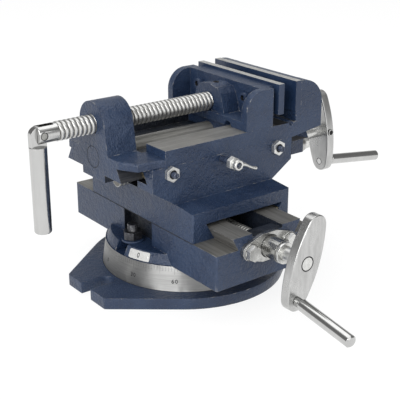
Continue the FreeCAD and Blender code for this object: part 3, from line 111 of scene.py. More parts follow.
class Graph:
    """Adds and links shader nodes in one tree."""

    STEP_X = 180
    STEP_Y = 220
    ROWS = 4

    def __init__(self, tree: bpy.types.NodeTree) -> None:
        """Work on the tree of a material, a group or a world."""
        self.tree = tree

    def add(self, kind: str, inputs: Inputs | None = None, **settings: object) -> bpy.types.Node:
        """Add one node.

        Args:
            kind: the node's type, without the ShaderNode prefix.
            inputs: values or sockets for its inputs, by name or number.
            settings: attributes of the node.

        Returns:
            The node.
        """
        node = self.tree.nodes.new("ShaderNode" + kind)
        count = len(self.tree.nodes)
        node.location = (count * self.STEP_X, -(count % self.ROWS) * self.STEP_Y)
        for name, value in settings.items():
            setattr(node, name, value)
        self.fill(node, inputs or {})
        return node

    def fill(self, node: bpy.types.Node, inputs: Inputs) -> None:
        """Set a node's inputs to values, or link them to other sockets.

        Args:
            node: the node.
            inputs: numbers, colours, vectors or output sockets, by the input's name or number.
        """
        for key, value in inputs.items():
            if isinstance(value, Socket):
                self.tree.links.new(value, node.inputs[key])
            else:
                node.inputs[key].default_value = value

    def math(self, operation: str, first: object, second: object, clamp: bool = False) -> Socket:
        """Add a math node and give its result."""
        return self.add("Math", {0: first, 1: second}, operation=operation, use_clamp=clamp).outputs[0]

    def vector(self, operation: str, first: object, second: object = (0.0, 0.0, 0.0)) -> Socket:
        """Add a vector math node and give its vector, or its value if it has only that."""
        node = self.add("VectorMath", {0: first, 1: second}, operation=operation)
        return node.outputs["Value" if operation in ("DOT_PRODUCT", "LENGTH") else "Vector"]

    def ramp(self, value: object, low: float, high: float, to_low: float = 0.0,
             to_high: float = 1.0) -> Socket:
        """Map a value smoothly from one range to another, clamped.

        Args:
            value: the input.
            low: start of the input's range.
            high: end of the input's range.
            to_low: result at the start.
            to_high: result at the end.

        Returns:
            The mapped value.
        """
        limits = {"From Min": low, "From Max": high, "To Min": to_low, "To Max": to_high}
        return self.add("MapRange", {"Value": value, **limits}, interpolation_type="SMOOTHSTEP").outputs[0]

    def blend(self, share: object, first: Socket | str, second: Socket | str) -> Socket:
        """Mix two colours, each a socket or a hex code, by a share and give the result."""
        colours = [linear(v) if isinstance(v, str) else v for v in (first, second)]
        return self.add("Mix", {0: share, 6: colours[0], 7: colours[1]}, data_type="RGBA").outputs[2]

    def rough(self, value: Socket, middle: float, vary: float) -> Socket:
        """Let the roughness vary round its middle with a noise."""
        return self.ramp(value, 0.3, 0.7, middle - vary, middle + vary)

    def where(self) -> Socket:
        """Give the piece's own coordinates."""
        return self.add("TexCoord").outputs["Object"]

    def noise(self, where: Socket, scale: object, detail: float, **more: object) -> Socket:
        """Add a noise texture and give its height."""
        return self.add("TexNoise", {"Vector": where, "Scale": scale, "Detail": detail, **more}).outputs[0]

    def bump(self, strength: float, distance: float, height: Socket, **more: object) -> Socket:
        """Add a bump node and give its normal."""
        return self.add("Bump", {"Strength": strength, "Distance": distance, "Height": height,
                                 **more}).outputs[0]


class Effect:
    """A shader node group with named inputs and outputs, built once and placed where it is needed."""

    name = "effect"
    values: dict[str, float] = {}
    results: dict[str, str] = {}

    @classmethod
    def tree(cls) -> bpy.types.NodeTree:
        """Give the group's tree, and build it on first use."""
        found = bpy.data.node_groups.get(cls.name)
        if found:
            return found
        made = bpy.data.node_groups.new(cls.name, "ShaderNodeTree")
        for label, value in cls.values.items():
            socket = made.interface.new_socket(label, in_out="INPUT", socket_type="NodeSocketFloat")
            socket.default_value = value
        for label, kind in cls.results.items():
            made.interface.new_socket(label, in_out="OUTPUT", socket_type="NodeSocket" + kind)
        start = made.nodes.new("NodeGroupInput")
        end = made.nodes.new("NodeGroupOutput")
        graph = Graph(made)
        graph.fill(end, cls.build(graph, {label: start.outputs[label] for label in cls.values}))
        return made

    @classmethod
    def build(cls, graph: Graph, given: Sockets) -> Sockets:
        """Fill the group.

        Args:
            graph: the group's tree.
            given: its inputs by name.

        Returns:
            Its outputs by name.
        """
        raise NotImplementedError

    @classmethod
    def put(cls, graph: Graph, **values: object) -> Sockets:
        """Place the group in a material.

        Args:
            graph: the material's tree.
            values: values or sockets for its inputs, with _ for a space.

        Returns:
            The outputs of the placed group.
        """
        named = {key.replace("_", " "): value for key, value in values.items()}
        return graph.add("Group", named, node_tree=cls.tree()).outputs


class CastSkin(Effect):
    """Orange peel of enamel over the soft lumps of a sand casting."""

    name = "cast skin"
    values = {"Peel Scale": 640.0, "Lump Scale": 190.0, "Lump Share": 1.45}
    results = {"Height": "Float", "Cloud": "Float", "Dust": "Float"}

    @classmethod
    def build(cls, graph: Graph, given: Sockets) -> Sockets:
        """Add fine and coarse noise heights, a slow cloud and a fine dust for the colour."""
        where = graph.where()
        peel = graph.noise(where, given["Peel Scale"], 2.0)
        lump = graph.noise(where, given["Lump Scale"], 3.0, Roughness=0.55, Distortion=0.4)
        coarse = graph.math("MULTIPLY", lump, given["Lump Share"])
        return {"Height": graph.math("ADD", peel, coarse),
                "Cloud": graph.noise(where, 22.0, 5.0, Roughness=0.65),
                "Dust": graph.noise(where, 1400.0, 2.0)}


class EdgeWear(Effect):
    """Rounded-edge normal, and a broken mask on the edges, for finish thinned by handling together with a
    painted glint.
    """

    name = "edge wear"
    values = {"Radius": 0.8 * MM, "Break Scale": 150.0}
    results = {"Mask": "Float", "Normal": "Vector"}

    @classmethod
    def build(cls, graph: Graph, given: Sockets) -> Sockets:
        """Compare the softened normal with the face's own one."""
        soft = graph.add("Bevel", {"Radius": given["Radius"]}, samples=6).outputs[0]
        face = graph.add("NewGeometry").outputs["True Normal"]
        edge = graph.ramp(graph.vector("DOT_PRODUCT", soft, face), 0.985, 0.93)
        patch = graph.noise(graph.where(), given["Break Scale"], 6.0, Roughness=0.7)
        return {"Mask": graph.math("MULTIPLY", edge, graph.ramp(patch, 0.48, 0.66)), "Normal": soft}


class ToolMarks(Effect):
    """Fine parallel lines of grinding or turning, drawn across one axis."""

    name = "tool marks"
    values = {"Along X": 1.0, "Along Y": 1.0, "Along Z": 1.0, "Scale": 60.0}
    results = {"Lines": "Float", "Smudge": "Float"}

    @classmethod
    def build(cls, graph: Graph, given: Sockets) -> Sockets:
        """Stretch noise along the axes with a small share."""
        where = graph.where()
        stretch = graph.add("CombineXYZ", {axis: given["Along " + axis] for axis in "XYZ"}).outputs[0]
        spread = graph.vector("MULTIPLY", where, stretch)
        return {"Lines": graph.noise(spread, given["Scale"], 4.0, Roughness=0.7),
                "Smudge": graph.noise(where, 45.0, 3.0)}


class Turned(Effect):
    """Lines round the swivel axis, and a painted sheen, a slow change of brightness with the angle standing
    in for the light on a turned drum.
    """

    name = "turned"
    values = {"Fineness": 900.0, "Drift": 0.004}
    results = {"Lines": "Float", "Sheen": "Float"}

    @classmethod
    def build(cls, graph: Graph, given: Sockets) -> Sockets:
        """Use height and radius for the lines, with a slow change of brightness round the axis for the
        painted sheen.
        """
        x, y, z = graph.add("SeparateXYZ", {0: graph.where()}).outputs
        angle = graph.math("ARCTAN2", y, x)
        radius = graph.vector("LENGTH", graph.add("CombineXYZ", {"X": x, "Y": y}).outputs[0])
        drift = graph.math("MULTIPLY", angle, given["Drift"])
        turned = graph.add("CombineXYZ", {"X": drift, "Y": radius, "Z": z}).outputs[0]
        return {"Lines": graph.noise(turned, given["Fineness"], 3.0),
                "Sheen": graph.noise(graph.add("CombineXYZ", {"X": angle}).outputs[0], 2.2, 2.0)}


@dataclass(frozen=True)
class Finish:
    """A recipe for one material."""

    name: str

    def inputs(self, graph: Graph) -> Inputs:
        """Build the nodes of the finish.

        Args:
            graph: the material's tree.

        Returns:
            What goes into the principled shader.
        """
        raise NotImplementedError


@cache
def material_of(finish: Finish) -> bpy.types.Material:
    """Make a finish's material on first use, and give the same one afterwards."""
    made = bpy.data.materials.new(finish.name)
    made.use_nodes = True
    graph = Graph(made.node_tree)
    graph.fill(made.node_tree.nodes["Principled BSDF"], finish.inputs(graph))
    return made


@dataclass(frozen=True)
class Enamel(Finish):
    """Satin enamel on a casting, with orange peel, slow colour clouds and light edges, partly thinned enamel
    and partly a painted glint.
    """

    base: str = "1b2b45"
    light: str = "273853"
    # Light colour of the edges: bared metal and a painted glint.
    worn: str = "c2beb6"
    rough: float = 0.37
    peel: float = 0.8
    wear: float = 0.65
    edge: float = 0.7 * MM
    dust: float = 0.10

    def inputs(self, graph: Graph) -> Inputs:
        """Blend the blues by the cloud, lighten the edges for wear and a painted glint, and add dust and
        orange peel.
        """
        skin = CastSkin.put(graph)
        worn = EdgeWear.put(graph, Radius=self.edge)
        tone = graph.blend(graph.ramp(skin["Cloud"], 0.35, 0.68), self.base, self.light)
        bare = graph.math("MULTIPLY", worn["Mask"], self.wear)
        speck = graph.math("MULTIPLY", graph.ramp(skin["Dust"], 0.62, 0.78), self.dust)
        return {"Base Color": graph.blend(graph.math("ADD", bare, speck, clamp=True), tone, self.worn),
                "Roughness": graph.rough(skin["Cloud"], self.rough, 0.08),
                "Normal": graph.bump(self.peel, 1.0 * MM, skin["Height"], Normal=worn["Normal"])}


@dataclass(frozen=True)
class Metal(Finish):
    """Bare or plated metal with tool marks along one direction, edges lightened for wear and a painted glint,
    and darker from one place on along X.
    """

    base: str
    dark: str
    rough: float
    along: Point = (1.0, 1.0, 1.0)
    scale: float = 60.0
    marks: float = 0.08
    metallic: float = 1.0
    edge: float = 0.5 * MM
    # Near-white of the edges: wear and a painted glint.
    bright: str = "f0f0f0"
    wear: float = 0.4
    vary: float = 0.06
    stain_from: float = 1.0
    stain_fade: float = 8 * MM
    stain_drift: float = 6 * MM
    stain: str = "14151a"

    def inputs(self, graph: Graph) -> Inputs:
        """Draw the tool marks, lighten the edges for wear and a painted glint, and darken the colour from one
        place on along X.
        """
        marks = ToolMarks.put(graph, Along_X=self.along[0], Along_Y=self.along[1], Along_Z=self.along[2],
                              Scale=self.scale)
        worn = EdgeWear.put(graph, Radius=self.edge)
        tone = graph.blend(graph.ramp(marks["Lines"], 0.3, 0.7), self.dark, self.base)
        tone = graph.blend(graph.math("MULTIPLY", worn["Mask"], self.wear), tone, self.bright)
        # From a set place on along X the colour goes darker, with a wavy edge.
        if self.stain_from < 1.0:
            drift = graph.math("MULTIPLY", marks["Smudge"], self.stain_drift)
            place = graph.math("ADD", graph.add("SeparateXYZ", {0: graph.where()}).outputs["X"], drift)
            share = graph.ramp(place, self.stain_from, self.stain_from + self.stain_fade, 0.0, 0.85)
            tone = graph.blend(share, tone, self.stain)
        return {"Base Color": tone, "Metallic": self.metallic,
                "Roughness": graph.rough(marks["Smudge"], self.rough, self.vary),
                "Normal": graph.bump(self.marks, 0.1 * MM, marks["Lines"], Normal=worn["Normal"])}


@dataclass(frozen=True)
class DrumMetal(Finish):
    """Turned iron of the graduated drum, whose lines round the axis draw each light out into a streak."""

    base: str = "b6b6b5"
    dark: str = "9c9c9b"
    rough: float = 0.45
    streak: float = 0.93
    lines: float = 0.6

    def inputs(self, graph: Graph) -> Inputs:
        """Mix lines and the painted sheen into the colour, and stretch the highlights across the lines."""
        turned = Turned.put(graph)
        # The colour takes the painted sheen at a share of 1 - lines.
        mixed = graph.math("ADD", graph.math("MULTIPLY", turned["Lines"], self.lines),
                           graph.math("MULTIPLY", turned["Sheen"], 1.0 - self.lines))
        return {"Base Color": graph.blend(graph.ramp(mixed, 0.35, 0.65), self.dark, self.base),
                "Metallic": 1.0, "Anisotropic": self.streak, "Anisotropic Rotation": 0.25,
                "Roughness": graph.rough(turned["Lines"], self.rough, 0.05),
                "Tangent": graph.add("Tangent", direction_type="RADIAL", axis="Z").outputs[0],
                "Normal": graph.bump(0.03, 0.1 * MM, turned["Lines"])}


@dataclass(frozen=True)
class ThreadMetal(Finish):
    """Bright thread crests over dark valleys, told apart by the distance from the screw's axis; the valleys'
    darkness is painted shade together with an oily film.
    """

    axis: Axis
    centre: Point
    root: float
    crest: float
    base: str = "cbcbc9"
    oil: str = "74726e"

    def inputs(self, graph: Graph) -> Inputs:
        """Measure the radius, and blend the valleys' painted shade and oily film with the metal by it."""
        where = graph.where()
        across = tuple(1.0 - v for v in self.axis.value)
        radius = graph.vector("LENGTH", graph.vector("MULTIPLY", graph.vector("SUBTRACT", where, self.centre),
                                                     across))
        # Darker towards the thread's root: painted shade in the valleys, with an oily film.
        high = graph.ramp(radius, self.root, self.crest - 0.2 * MM)
        spots = graph.noise(where, 260.0, 3.0)
        shade = graph.math("ADD", high, graph.ramp(spots, 0.35, 0.75, -0.12, 0.12), clamp=True)
        return {"Base Color": graph.blend(shade, self.oil, self.base), "Metallic": 0.85,
                "Roughness": graph.ramp(high, 0.0, 1.0, 0.45, 0.3),
                "Normal": graph.bump(0.08, 0.1 * MM, spots)}


@dataclass(frozen=True)
class Print(Finish):
    """Flat ink or a painted mark, faintly uneven."""

    base: str
    dark: str
    rough: float
    vary: float = 0.06

    def inputs(self, graph: Graph) -> Inputs:
        """Speckle the colour and the gloss."""
        spots = graph.noise(graph.where(), 700.0, 3.0)
        return {"Base Color": graph.blend(graph.ramp(spots, 0.4, 0.75), self.base, self.dark),
                "Roughness": graph.rough(spots, self.rough, self.vary),
                "Normal": graph.bump(0.05, 0.05 * MM, spots)}


class Look:
    """The finishes of the vise."""

    even = (1.0, 1.0, 1.0)
    upright = (1.0, 1.0, 0.25)
    enamel = Enamel("blue enamel")
    # Darker enamel for channels, troughs and pockets: painted shade in the recesses.
    greasy = Enamel("greasy enamel", "0f1319", "1a212d", rough=0.35, wear=0.35)
    plate_enamel = Enamel("jaw plate enamel", peel=0.14, wear=0.6, edge=0.4 * MM)
    head_enamel = Enamel("painted screw heads", peel=0.10, wear=0.25, edge=0.3 * MM)
    oiled = Metal("oiled slide", "4c4c4e", "2f3238", 0.45, (0.05, 1.0, 1.0), 300.0, metallic=0.5)
    way_y = Metal("ground way", "83827f", "63625f", 0.46, (1.0, 0.03, 1.0), 500.0, metallic=0.55)
    # The ground bed goes darker from 60 mm on along X, between the jaws.
    way_x = Metal("ground bed", "9c9b98", "7a7977", 0.42, (0.03, 1.0, 1.0), 500.0, metallic=0.6,
                  stain_from=60 * MM)
    jaw_edge = Metal("ground jaw edge", "b3b3b0", "929290", 0.40, (0.5, 0.5, 1.0), 900.0, 0.05, 0.35,
                     0.2 * MM)
    drum = DrumMetal("turned drum")
    plating = Metal("bright plating", "c9c9c8", "c0c0bf", 0.14, upright, 90.0, 0.002, 1.0, 0.4 * MM,
                    vary=0.015)
    satin = Metal("satin plating", "c8c8c7", "b6b6b5", 0.30, upright, 160.0, 0.03, 0.95)
    zinc = Metal("zinc plating", "e2e2e0", "cbcbc8", 0.28, even, 320.0, 0.05, 0.85, 0.25 * MM)
    flange = Metal("plated bracket", "c2c2c0", "a6a6a4", 0.22, even, 220.0, 0.03, 0.97, vary=0.03)
    bar = Metal("drawn bar", "a5a4a0", "83827e", 0.36, (0.04, 1.0, 1.0), 420.0, 0.05, 0.6, 0.2 * MM)
    steel = Metal("turned steel", "b4b4b0", "92928f", 0.28, even, 300.0, 0.03, 1.0, 0.25 * MM)
    gib = Metal("gib steel", "b3a98c", "857d68", 0.35, (0.05, 1.0, 1.0), 300.0, 0.05, 0.9, 0.2 * MM)
    black = Metal("black oxide", "303033", "1b1b1d", 0.36, even, 320.0, 0.06, 0.6, 0.25 * MM, "77777a", 0.5)
    head_metal = Metal("painted screw end", "4a5468", "2b3348", 0.30, even, 320.0, 0.05, 0.35, 0.3 * MM,
                       "d8d8d8", 0.8)
    stud = Metal("dark stud steel", "5b5c60", "2f3034", 0.30, even, 300.0, 0.06, 0.8, 0.4 * MM, "d4d4d2", 0.8)
    bronze = Metal("turned bronze", "b08a4c", "8a6a36", 0.34, even, 260.0, 0.05)
    white = Print("white plate", "c6c6c4", "b6b6b3", 0.4)
    ink = Print("dark marks", "1e1e22", "37373b", 0.6)
    faint = Print("worn marks", "5e5e60", "8a8a8a", 0.6)
    # Near-black for dark joints, and painted shade inside holes and sockets.
    shade = Print("dark gaps", "101012", "1b1b1e", 0.8)


def loft(rings: Sequence[Sequence[Vector]], closed: bool = False) -> Shape:
    """Lay a skin over rings of points.

    Args:
        rings: rings with the same number of points, or with one point.
        closed: join the last ring to the first; otherwise both ends are capped.

    Returns:
        The shape, for write.
    """
    shape = bmesh.new()
    made = [[shape.verts.new(point) for point in ring] for ring in rings]
    steps = max(len(ring) for ring in made)
    for first, second in zip(made, made[1:] + (made[:1] if closed else [])):
        for step in range(steps):
            ends = (first[step % len(first)], first[(step + 1) % len(first)],
                    second[(step + 1) % len(second)], second[step % len(second)])
            corners = list(dict.fromkeys(ends))
            if len(corners) > 2:
                shape.faces.new(corners)
    for ring in () if closed else (made[0], made[-1]):
        if len(ring) > 1:
            shape.faces.new(ring)
    bmesh.ops.recalc_face_normals(shape, faces=shape.faces)
    return shape


def revolve(outline: Outline, axis: Axis, centre: Sequence[float], steps: int = 40,
            closed: bool = False) -> Shape:
    """Turn an outline round an axis.

    Args:
        outline: (place along the axis, radius) pairs; a radius of 0 is a point on the axis.
        axis: the axis.
        centre: a point on it.
        steps: sides round it.
        closed: join the outline's end to its start, for a ring.

    Returns:
        The shape, for write.
    """
    angles = [2 * math.pi * step / steps for step in range(steps)]
    rings = []
    for place, radius in outline:
        middle = Vector(centre) + axis.vector * place
        rings.append([middle + axis.spoke(angle) * radius for angle in (angles if radius else angles[:1])])
    return loft(rings, closed)


def box(middle: Vector, size: Vector) -> Shape:
    """Make a box from its middle and its size."""
    shape = bmesh.new()
    bmesh.ops.create_cube(shape, size=1.0, matrix=Matrix.Translation(middle) @ Matrix.Diagonal(size.to_4d()))
    return shape


def smooth(mesh: bpy.types.Mesh, degrees: float = 35.0) -> bpy.types.Mesh:
    """Shade a mesh smoothly, with its edges over an angle kept sharp, and give it back."""
    mesh.polygons.foreach_set("use_smooth", [True] * len(mesh.polygons))
    mesh.set_sharp_from_angle(angle=math.radians(degrees))
    return mesh


def write(shape: Shape, name: str, degrees: float = 35.0) -> bpy.types.Mesh:
    """Turn a shape into a smooth-shaded mesh and free it."""
    made = bpy.data.meshes.new(name)
    shape.to_mesh(made)
    shape.free()
    return smooth(made, degrees)


def link(name: str, data: bpy.types.ID) -> bpy.types.Object:
    """Put data in the scene as a new object."""
    made = bpy.data.objects.new(name, data)
    bpy.context.scene.collection.objects.link(made)
    return made


def final_mesh(item: bpy.types.Object) -> bpy.types.Mesh:
    """Give an object's mesh with its modifiers applied, and remove the object."""
    bpy.context.view_layer.update()
    made = bpy.data.meshes.new_from_object(item.evaluated_get(bpy.context.evaluated_depsgraph_get()))
    bpy.data.objects.remove(item)
    return made


def carve(body: bpy.types.Mesh, cutter: bpy.types.Mesh) -> bpy.types.Mesh:
    """Cut one closed mesh out of another.

    Args:
        body: what is cut.
        cutter: what is taken away.

    Returns:
        The result as a new mesh.
    """
    first, second = link("carve_body", body), link("carve_cutter", cutter)
    step = first.modifiers.new("cut", "BOOLEAN")
    step.operation = "DIFFERENCE"
    step.object = second
    step.solver = "EXACT"
    made = final_mesh(first)
    bpy.data.objects.remove(second)
    return smooth(made)


@dataclass
class Thread:
    """A rounded thread as a closed mesh round an axis.

    start and end are places along the axis. fullness broadens the crests and narrows the valleys
    between them.
    """

    axis: Axis
    centre: Point
    start: float
    end: float
    crest: float
    root: float
    pitch: float
    steps: int = 40
    points: int = 10
    fullness: float = 2.6

    def column(self, step: int) -> list[Vector]:
        """Give the points of the thread at one angle, from end to end.

        Args:
            step: the number of the angle.

        Returns:
            The points, those past an end drawn back to its rim.
        """
        turns = int(math.ceil((self.end - self.start) / self.pitch)) + 1
        along, base = self.axis.vector, Vector(self.centre)
        out = self.axis.spoke(2 * math.pi * step / self.steps)
        places = [(self.start, self.root)]
        for turn in range(-1, turns):
            for point in range(self.points):
                share = point / self.points
                depth = (self.crest - self.root) * abs(2 * share - 1) ** self.fullness
                where = self.start + (turn + share + step / self.steps) * self.pitch
                inside = min(max(where, self.start), self.end)
                places.append((inside, self.crest - depth if inside == where else self.root))
        places.append((self.end, self.root))
        return [base + along * place + out * radius for place, radius in places]

    def mesh(self, name: str, degrees: float) -> bpy.types.Mesh:
        """Build the thread, each column of points joined to the next one along the helix.

        Args:
            name: the mesh's name.
            degrees: edges over this angle stay sharp.

        Returns:
            The mesh, in the frame.
        """
        shape = bmesh.new()
        columns = [[shape.verts.new(point) for point in self.column(step)] for step in range(self.steps)]
        last = len(columns[0]) - 1
        for step, here in enumerate(columns):
            there = columns[(step + 1) % self.steps]
            shift = self.points if step == self.steps - 1 else 0
            for i in range(last):
                ends = (here[i], here[i + 1], there[min(i + 1 + shift, last)], there[min(i + shift, last)])
                corners = list(dict.fromkeys(ends))
                if len(corners) > 2:
                    shape.faces.new(corners)
        shape.faces.new([column[0] for column in columns])
        shape.faces.new([column[-1] for column in reversed(columns)])
        bmesh.ops.remove_doubles(shape, verts=shape.verts, dist=MERGE)
        bmesh.ops.dissolve_degenerate(shape, edges=shape.edges, dist=MERGE)
        bmesh.ops.recalc_face_normals(shape, faces=shape.faces)
        return write(shape, name, degrees)


class Piece:
    """Helpers shared by the classes that dress or build pieces."""

    @staticmethod
    def dress(nodes: Iterable[str], finish: Finish) -> None:
        """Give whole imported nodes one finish."""
        for name in nodes:
            materials = bpy.data.objects[name].data.materials
            materials.clear()
            materials.append(material_of(finish))

    @staticmethod
    def dress_faces(node: str, finish: Finish, *tests: Callable[[Vector, Vector], bool]) -> None:
        """Give the faces of a node that pass one of the tests another finish.

        Args:
            node: the node's name.
            finish: the finish.
            tests: each is told a face's centre and normal, and says if it gets the finish.
        """
        mesh = bpy.data.objects[node].data
        mesh.materials.append(material_of(finish))
        for face in mesh.polygons:
            if any(test(face.center, face.normal) for test in tests):
                face.material_index = len(mesh.materials) - 1

    @staticmethod
    def ease(nodes: Iterable[str], width: float, corner: float = 32.0) -> None:
        """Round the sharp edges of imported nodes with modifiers, leaving their meshes as they are.

        Args:
            nodes: node names.
            width: the width of the rounding.
            corner: edges over this angle, in degrees, are rounded.
        """
        for name in nodes:
            item = bpy.data.objects[name]
            item.modifiers.new("joined corners", "WELD").merge_threshold = 2 * MERGE
            edge = item.modifiers.new("eased edges", "BEVEL")
            edge.width = width
            edge.segments = 2
            edge.limit_method = "ANGLE"
            edge.angle_limit = math.radians(corner)
            edge.use_clamp_overlap = True
            edge.harden_normals = True

    @staticmethod
    def place(name: str, mesh: bpy.types.Mesh | Shape, finish: Finish, body: str, slot: str = "",
              node: str = "") -> None:
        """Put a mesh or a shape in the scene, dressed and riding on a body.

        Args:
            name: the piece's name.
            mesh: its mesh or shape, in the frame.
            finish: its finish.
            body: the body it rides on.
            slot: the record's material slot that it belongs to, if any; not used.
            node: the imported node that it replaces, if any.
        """
        if isinstance(mesh, Shape):
            mesh = write(mesh, name)
        made = link(name, mesh)
        mesh.materials.clear()
        mesh.materials.append(material_of(finish))
        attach(made, body)
        if node:
            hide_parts(node)
        LOG.info("piece %s on %s, %d faces", name, body, len(mesh.polygons))


@dataclass(frozen=True)
class Zone:
    """Limits that tell the faces of one machined surface.

    x, out_x, out_y and z limit a face's centre in millimetres, out_ ones by its distance from the
    middle plane. side_x, side_y and side_z limit how far its normal leans along an axis, up how far
    it points upwards.
    """

    x: Span = ANY
    out_x: Span = ANY
    out_y: Span = ANY
    z: Span = ANY
    side_x: float = math.inf
    side_y: float = math.inf
    side_z: float = math.inf
    up: Span = ANY

    def __call__(self, centre: Vector, normal: Vector) -> bool:
        """Tell whether a face lies in the zone.

        Args:
            centre: its centre.
            normal: its normal.

        Returns:
            True if it keeps all limits.
        """
        places = ((self.x, centre.x), (self.out_x, abs(centre.x)), (self.out_y, abs(centre.y)),
                  (self.z, centre.z))
        leans = ((self.side_x, normal.x), (self.side_y, normal.y), (self.side_z, normal.z))
        return (all(low < value / MM < high for (low, high), value in places)
                and all(abs(value) < most for most, value in leans) and self.up[0] < normal.z < self.up[1])


@dataclass
class Castings(Piece):
    """The painted castings, their machined faces and the jaw plates.

    A normal's share in top points upwards. Below upright, a face stands along an axis.
    """

    castings: Sequence[str] = ("swivel_base", "lower_slide", "saddle", "vise_body", "movable_jaw")
    plates: Sequence[str] = ("fixed_jaw_plate", "movable_jaw_plate")
    edge: float = 0.7 * MM
    plate_edge: float = 0.4 * MM
    top: Span = (0.9, 1.1)
    upright: float = 0.5
    hole_x: float = 37.5 * MM
    hole: float = 2.4 * MM

    def build(self) -> None:
        """Dress the castings and round their edges."""
        self.dress(self.castings, Look.enamel)
        self.dress(self.plates, Look.plate_enamel)
        faces = (
            ("lower_slide", Look.way_y, Zone(z=(68.3, 68.7), up=self.top), Zone(z=(80.3, 80.7), up=self.top),
             Zone(z=(67.5, 81.5), up=(-1.1, -0.3))),
            # Painted shade: darker enamel in the lower slide's channel between the ways and round the swivel
            # nuts.
            ("lower_slide", Look.greasy, Zone(out_x=(-1, 18), z=(49, 79.5), side_y=self.upright),
             Zone(out_x=(48, 200), out_y=(-1, 23.6), z=(45, 67.5))),
            ("vise_body", Look.way_x, Zone(z=(150.8, 151.2), up=self.top)),
            ("vise_body", Look.oiled,
             Zone(x=(-200, 104), out_y=(30, 200), z=(0, 135.8), side_x=self.upright)),
            # Painted shade: darker enamel in the trough between the vise body's rails.
            ("vise_body", Look.greasy, Zone(x=(-72.9, 80.7), out_y=(-1, 33.1), z=(121, 150))),
            ("saddle", Look.oiled, Zone(out_y=(-1, 56), z=(112, 136), side_x=self.upright)),
            ("swivel_base", Look.drum, Zone(z=(11.2, 35.2), side_z=self.upright)),
            # Painted shade: the walls of the oiling hole on the movable jaw are near-black.
            ("movable_jaw", Look.shade, self.in_oil_hole),
            *((plate, Look.jaw_edge, Zone(up=self.top)) for plate in self.plates),
        )
        for node, finish, *tests in faces:
            self.dress_faces(node, finish, *tests)
        self.ease(self.castings, self.edge)
        self.ease(self.plates, self.plate_edge)

    def in_oil_hole(self, centre: Vector, normal: Vector) -> bool:
        """Tell a wall of the oiling hole on top of the movable jaw's boss; these walls get the near-black
        finish as painted shade.
        """
        across = math.hypot(centre.x - self.hole_x, centre.y)
        return across < self.hole and abs(normal.z) < self.upright


def both(*names: str) -> tuple[str, ...]:
    """Give the name of each piece on the lower and on the upper slide."""
    return tuple(side + name for name in names for side in ("lower_", "upper_"))


@dataclass
class Hardware(Piece):
    """Bolts, nuts, washers, bushes and other small turned pieces.

    floor_x is where the sockets of the movable jaw's screws end. Past fixed_x lie the fixed jaw's.
    """

    edge: float = 0.3 * MM
    fine_edge: float = 0.2 * MM
    socket_y: float = 36.0 * MM
    socket_z: float = 175.75 * MM
    socket: float = 2.9 * MM
    floor_x: Span = (42.9 * MM, 43.1 * MM)
    fixed_x: float = 100 * MM
    flat: float = 0.9

    def build(self) -> None:
        """Dress the small pieces and ease their edges."""
        jaw_screws = ("fixed_jaw_screws", "movable_jaw_screws")
        groups = (
            (Look.head_metal, ("lock_screw",)),
            (Look.black, both("crank_set_screw", "grub_screw", "nut_screws")),
            (Look.head_enamel, (*jaw_screws, "swivel_washers")),
            (Look.flange, both("screw_bracket")),
            (Look.zinc, ("lock_lever", *both("gib_nuts", "bracket_washers", "bracket_bolts", "screw_bush",
                                             "thrust_collar"))),
            (Look.bronze, both("screw_nut")),
            (Look.steel, ("swivel_pivot", "handle_hinge_pin", "screw_retaining_pins", *both("lead_screw"))),
            (Look.gib, both("gib")),
            (Look.bar, ("guide_bar",)),
            (Look.satin, both("crank_arm")),
            (Look.plating, ("vise_handle", *both("crank_grip"))),
            (Look.stud, ("swivel_t_bolts", "swivel_nuts")),
            (Look.white, ("index_plate",)),
        )
        for finish, nodes in groups:
            self.dress(nodes, finish)
        self.ease(("swivel_nuts", "lock_lever", "swivel_t_bolts", *both("bracket_bolts", "gib_nuts")),
                  self.edge)
        self.ease(("swivel_washers", "handle_hinge_pin", *jaw_screws,
                   *both("bracket_washers", "screw_bush", "thrust_collar")), self.fine_edge)
        # Painted shade: faces inside the hexagon sockets of the jaw plate screws are near-black.
        for node in jaw_screws:
            self.dress_faces(node, Look.shade, self.in_socket)
        self.dress_faces("guide_bar", Look.enamel, lambda centre, normal: normal.x < -self.flat)

    def in_socket(self, centre: Vector, normal: Vector) -> bool:
        """Tell a face inside the hexagon socket of a jaw plate screw; these faces get the near-black finish
        as painted shade.
        """
        across = math.hypot(abs(centre.y) - self.socket_y, centre.z - self.socket_z)
        deep = self.floor_x[0] < centre.x < self.floor_x[1] or abs(normal.x) < 0.5
        return across < self.socket and (deep or centre.x > self.fixed_x)


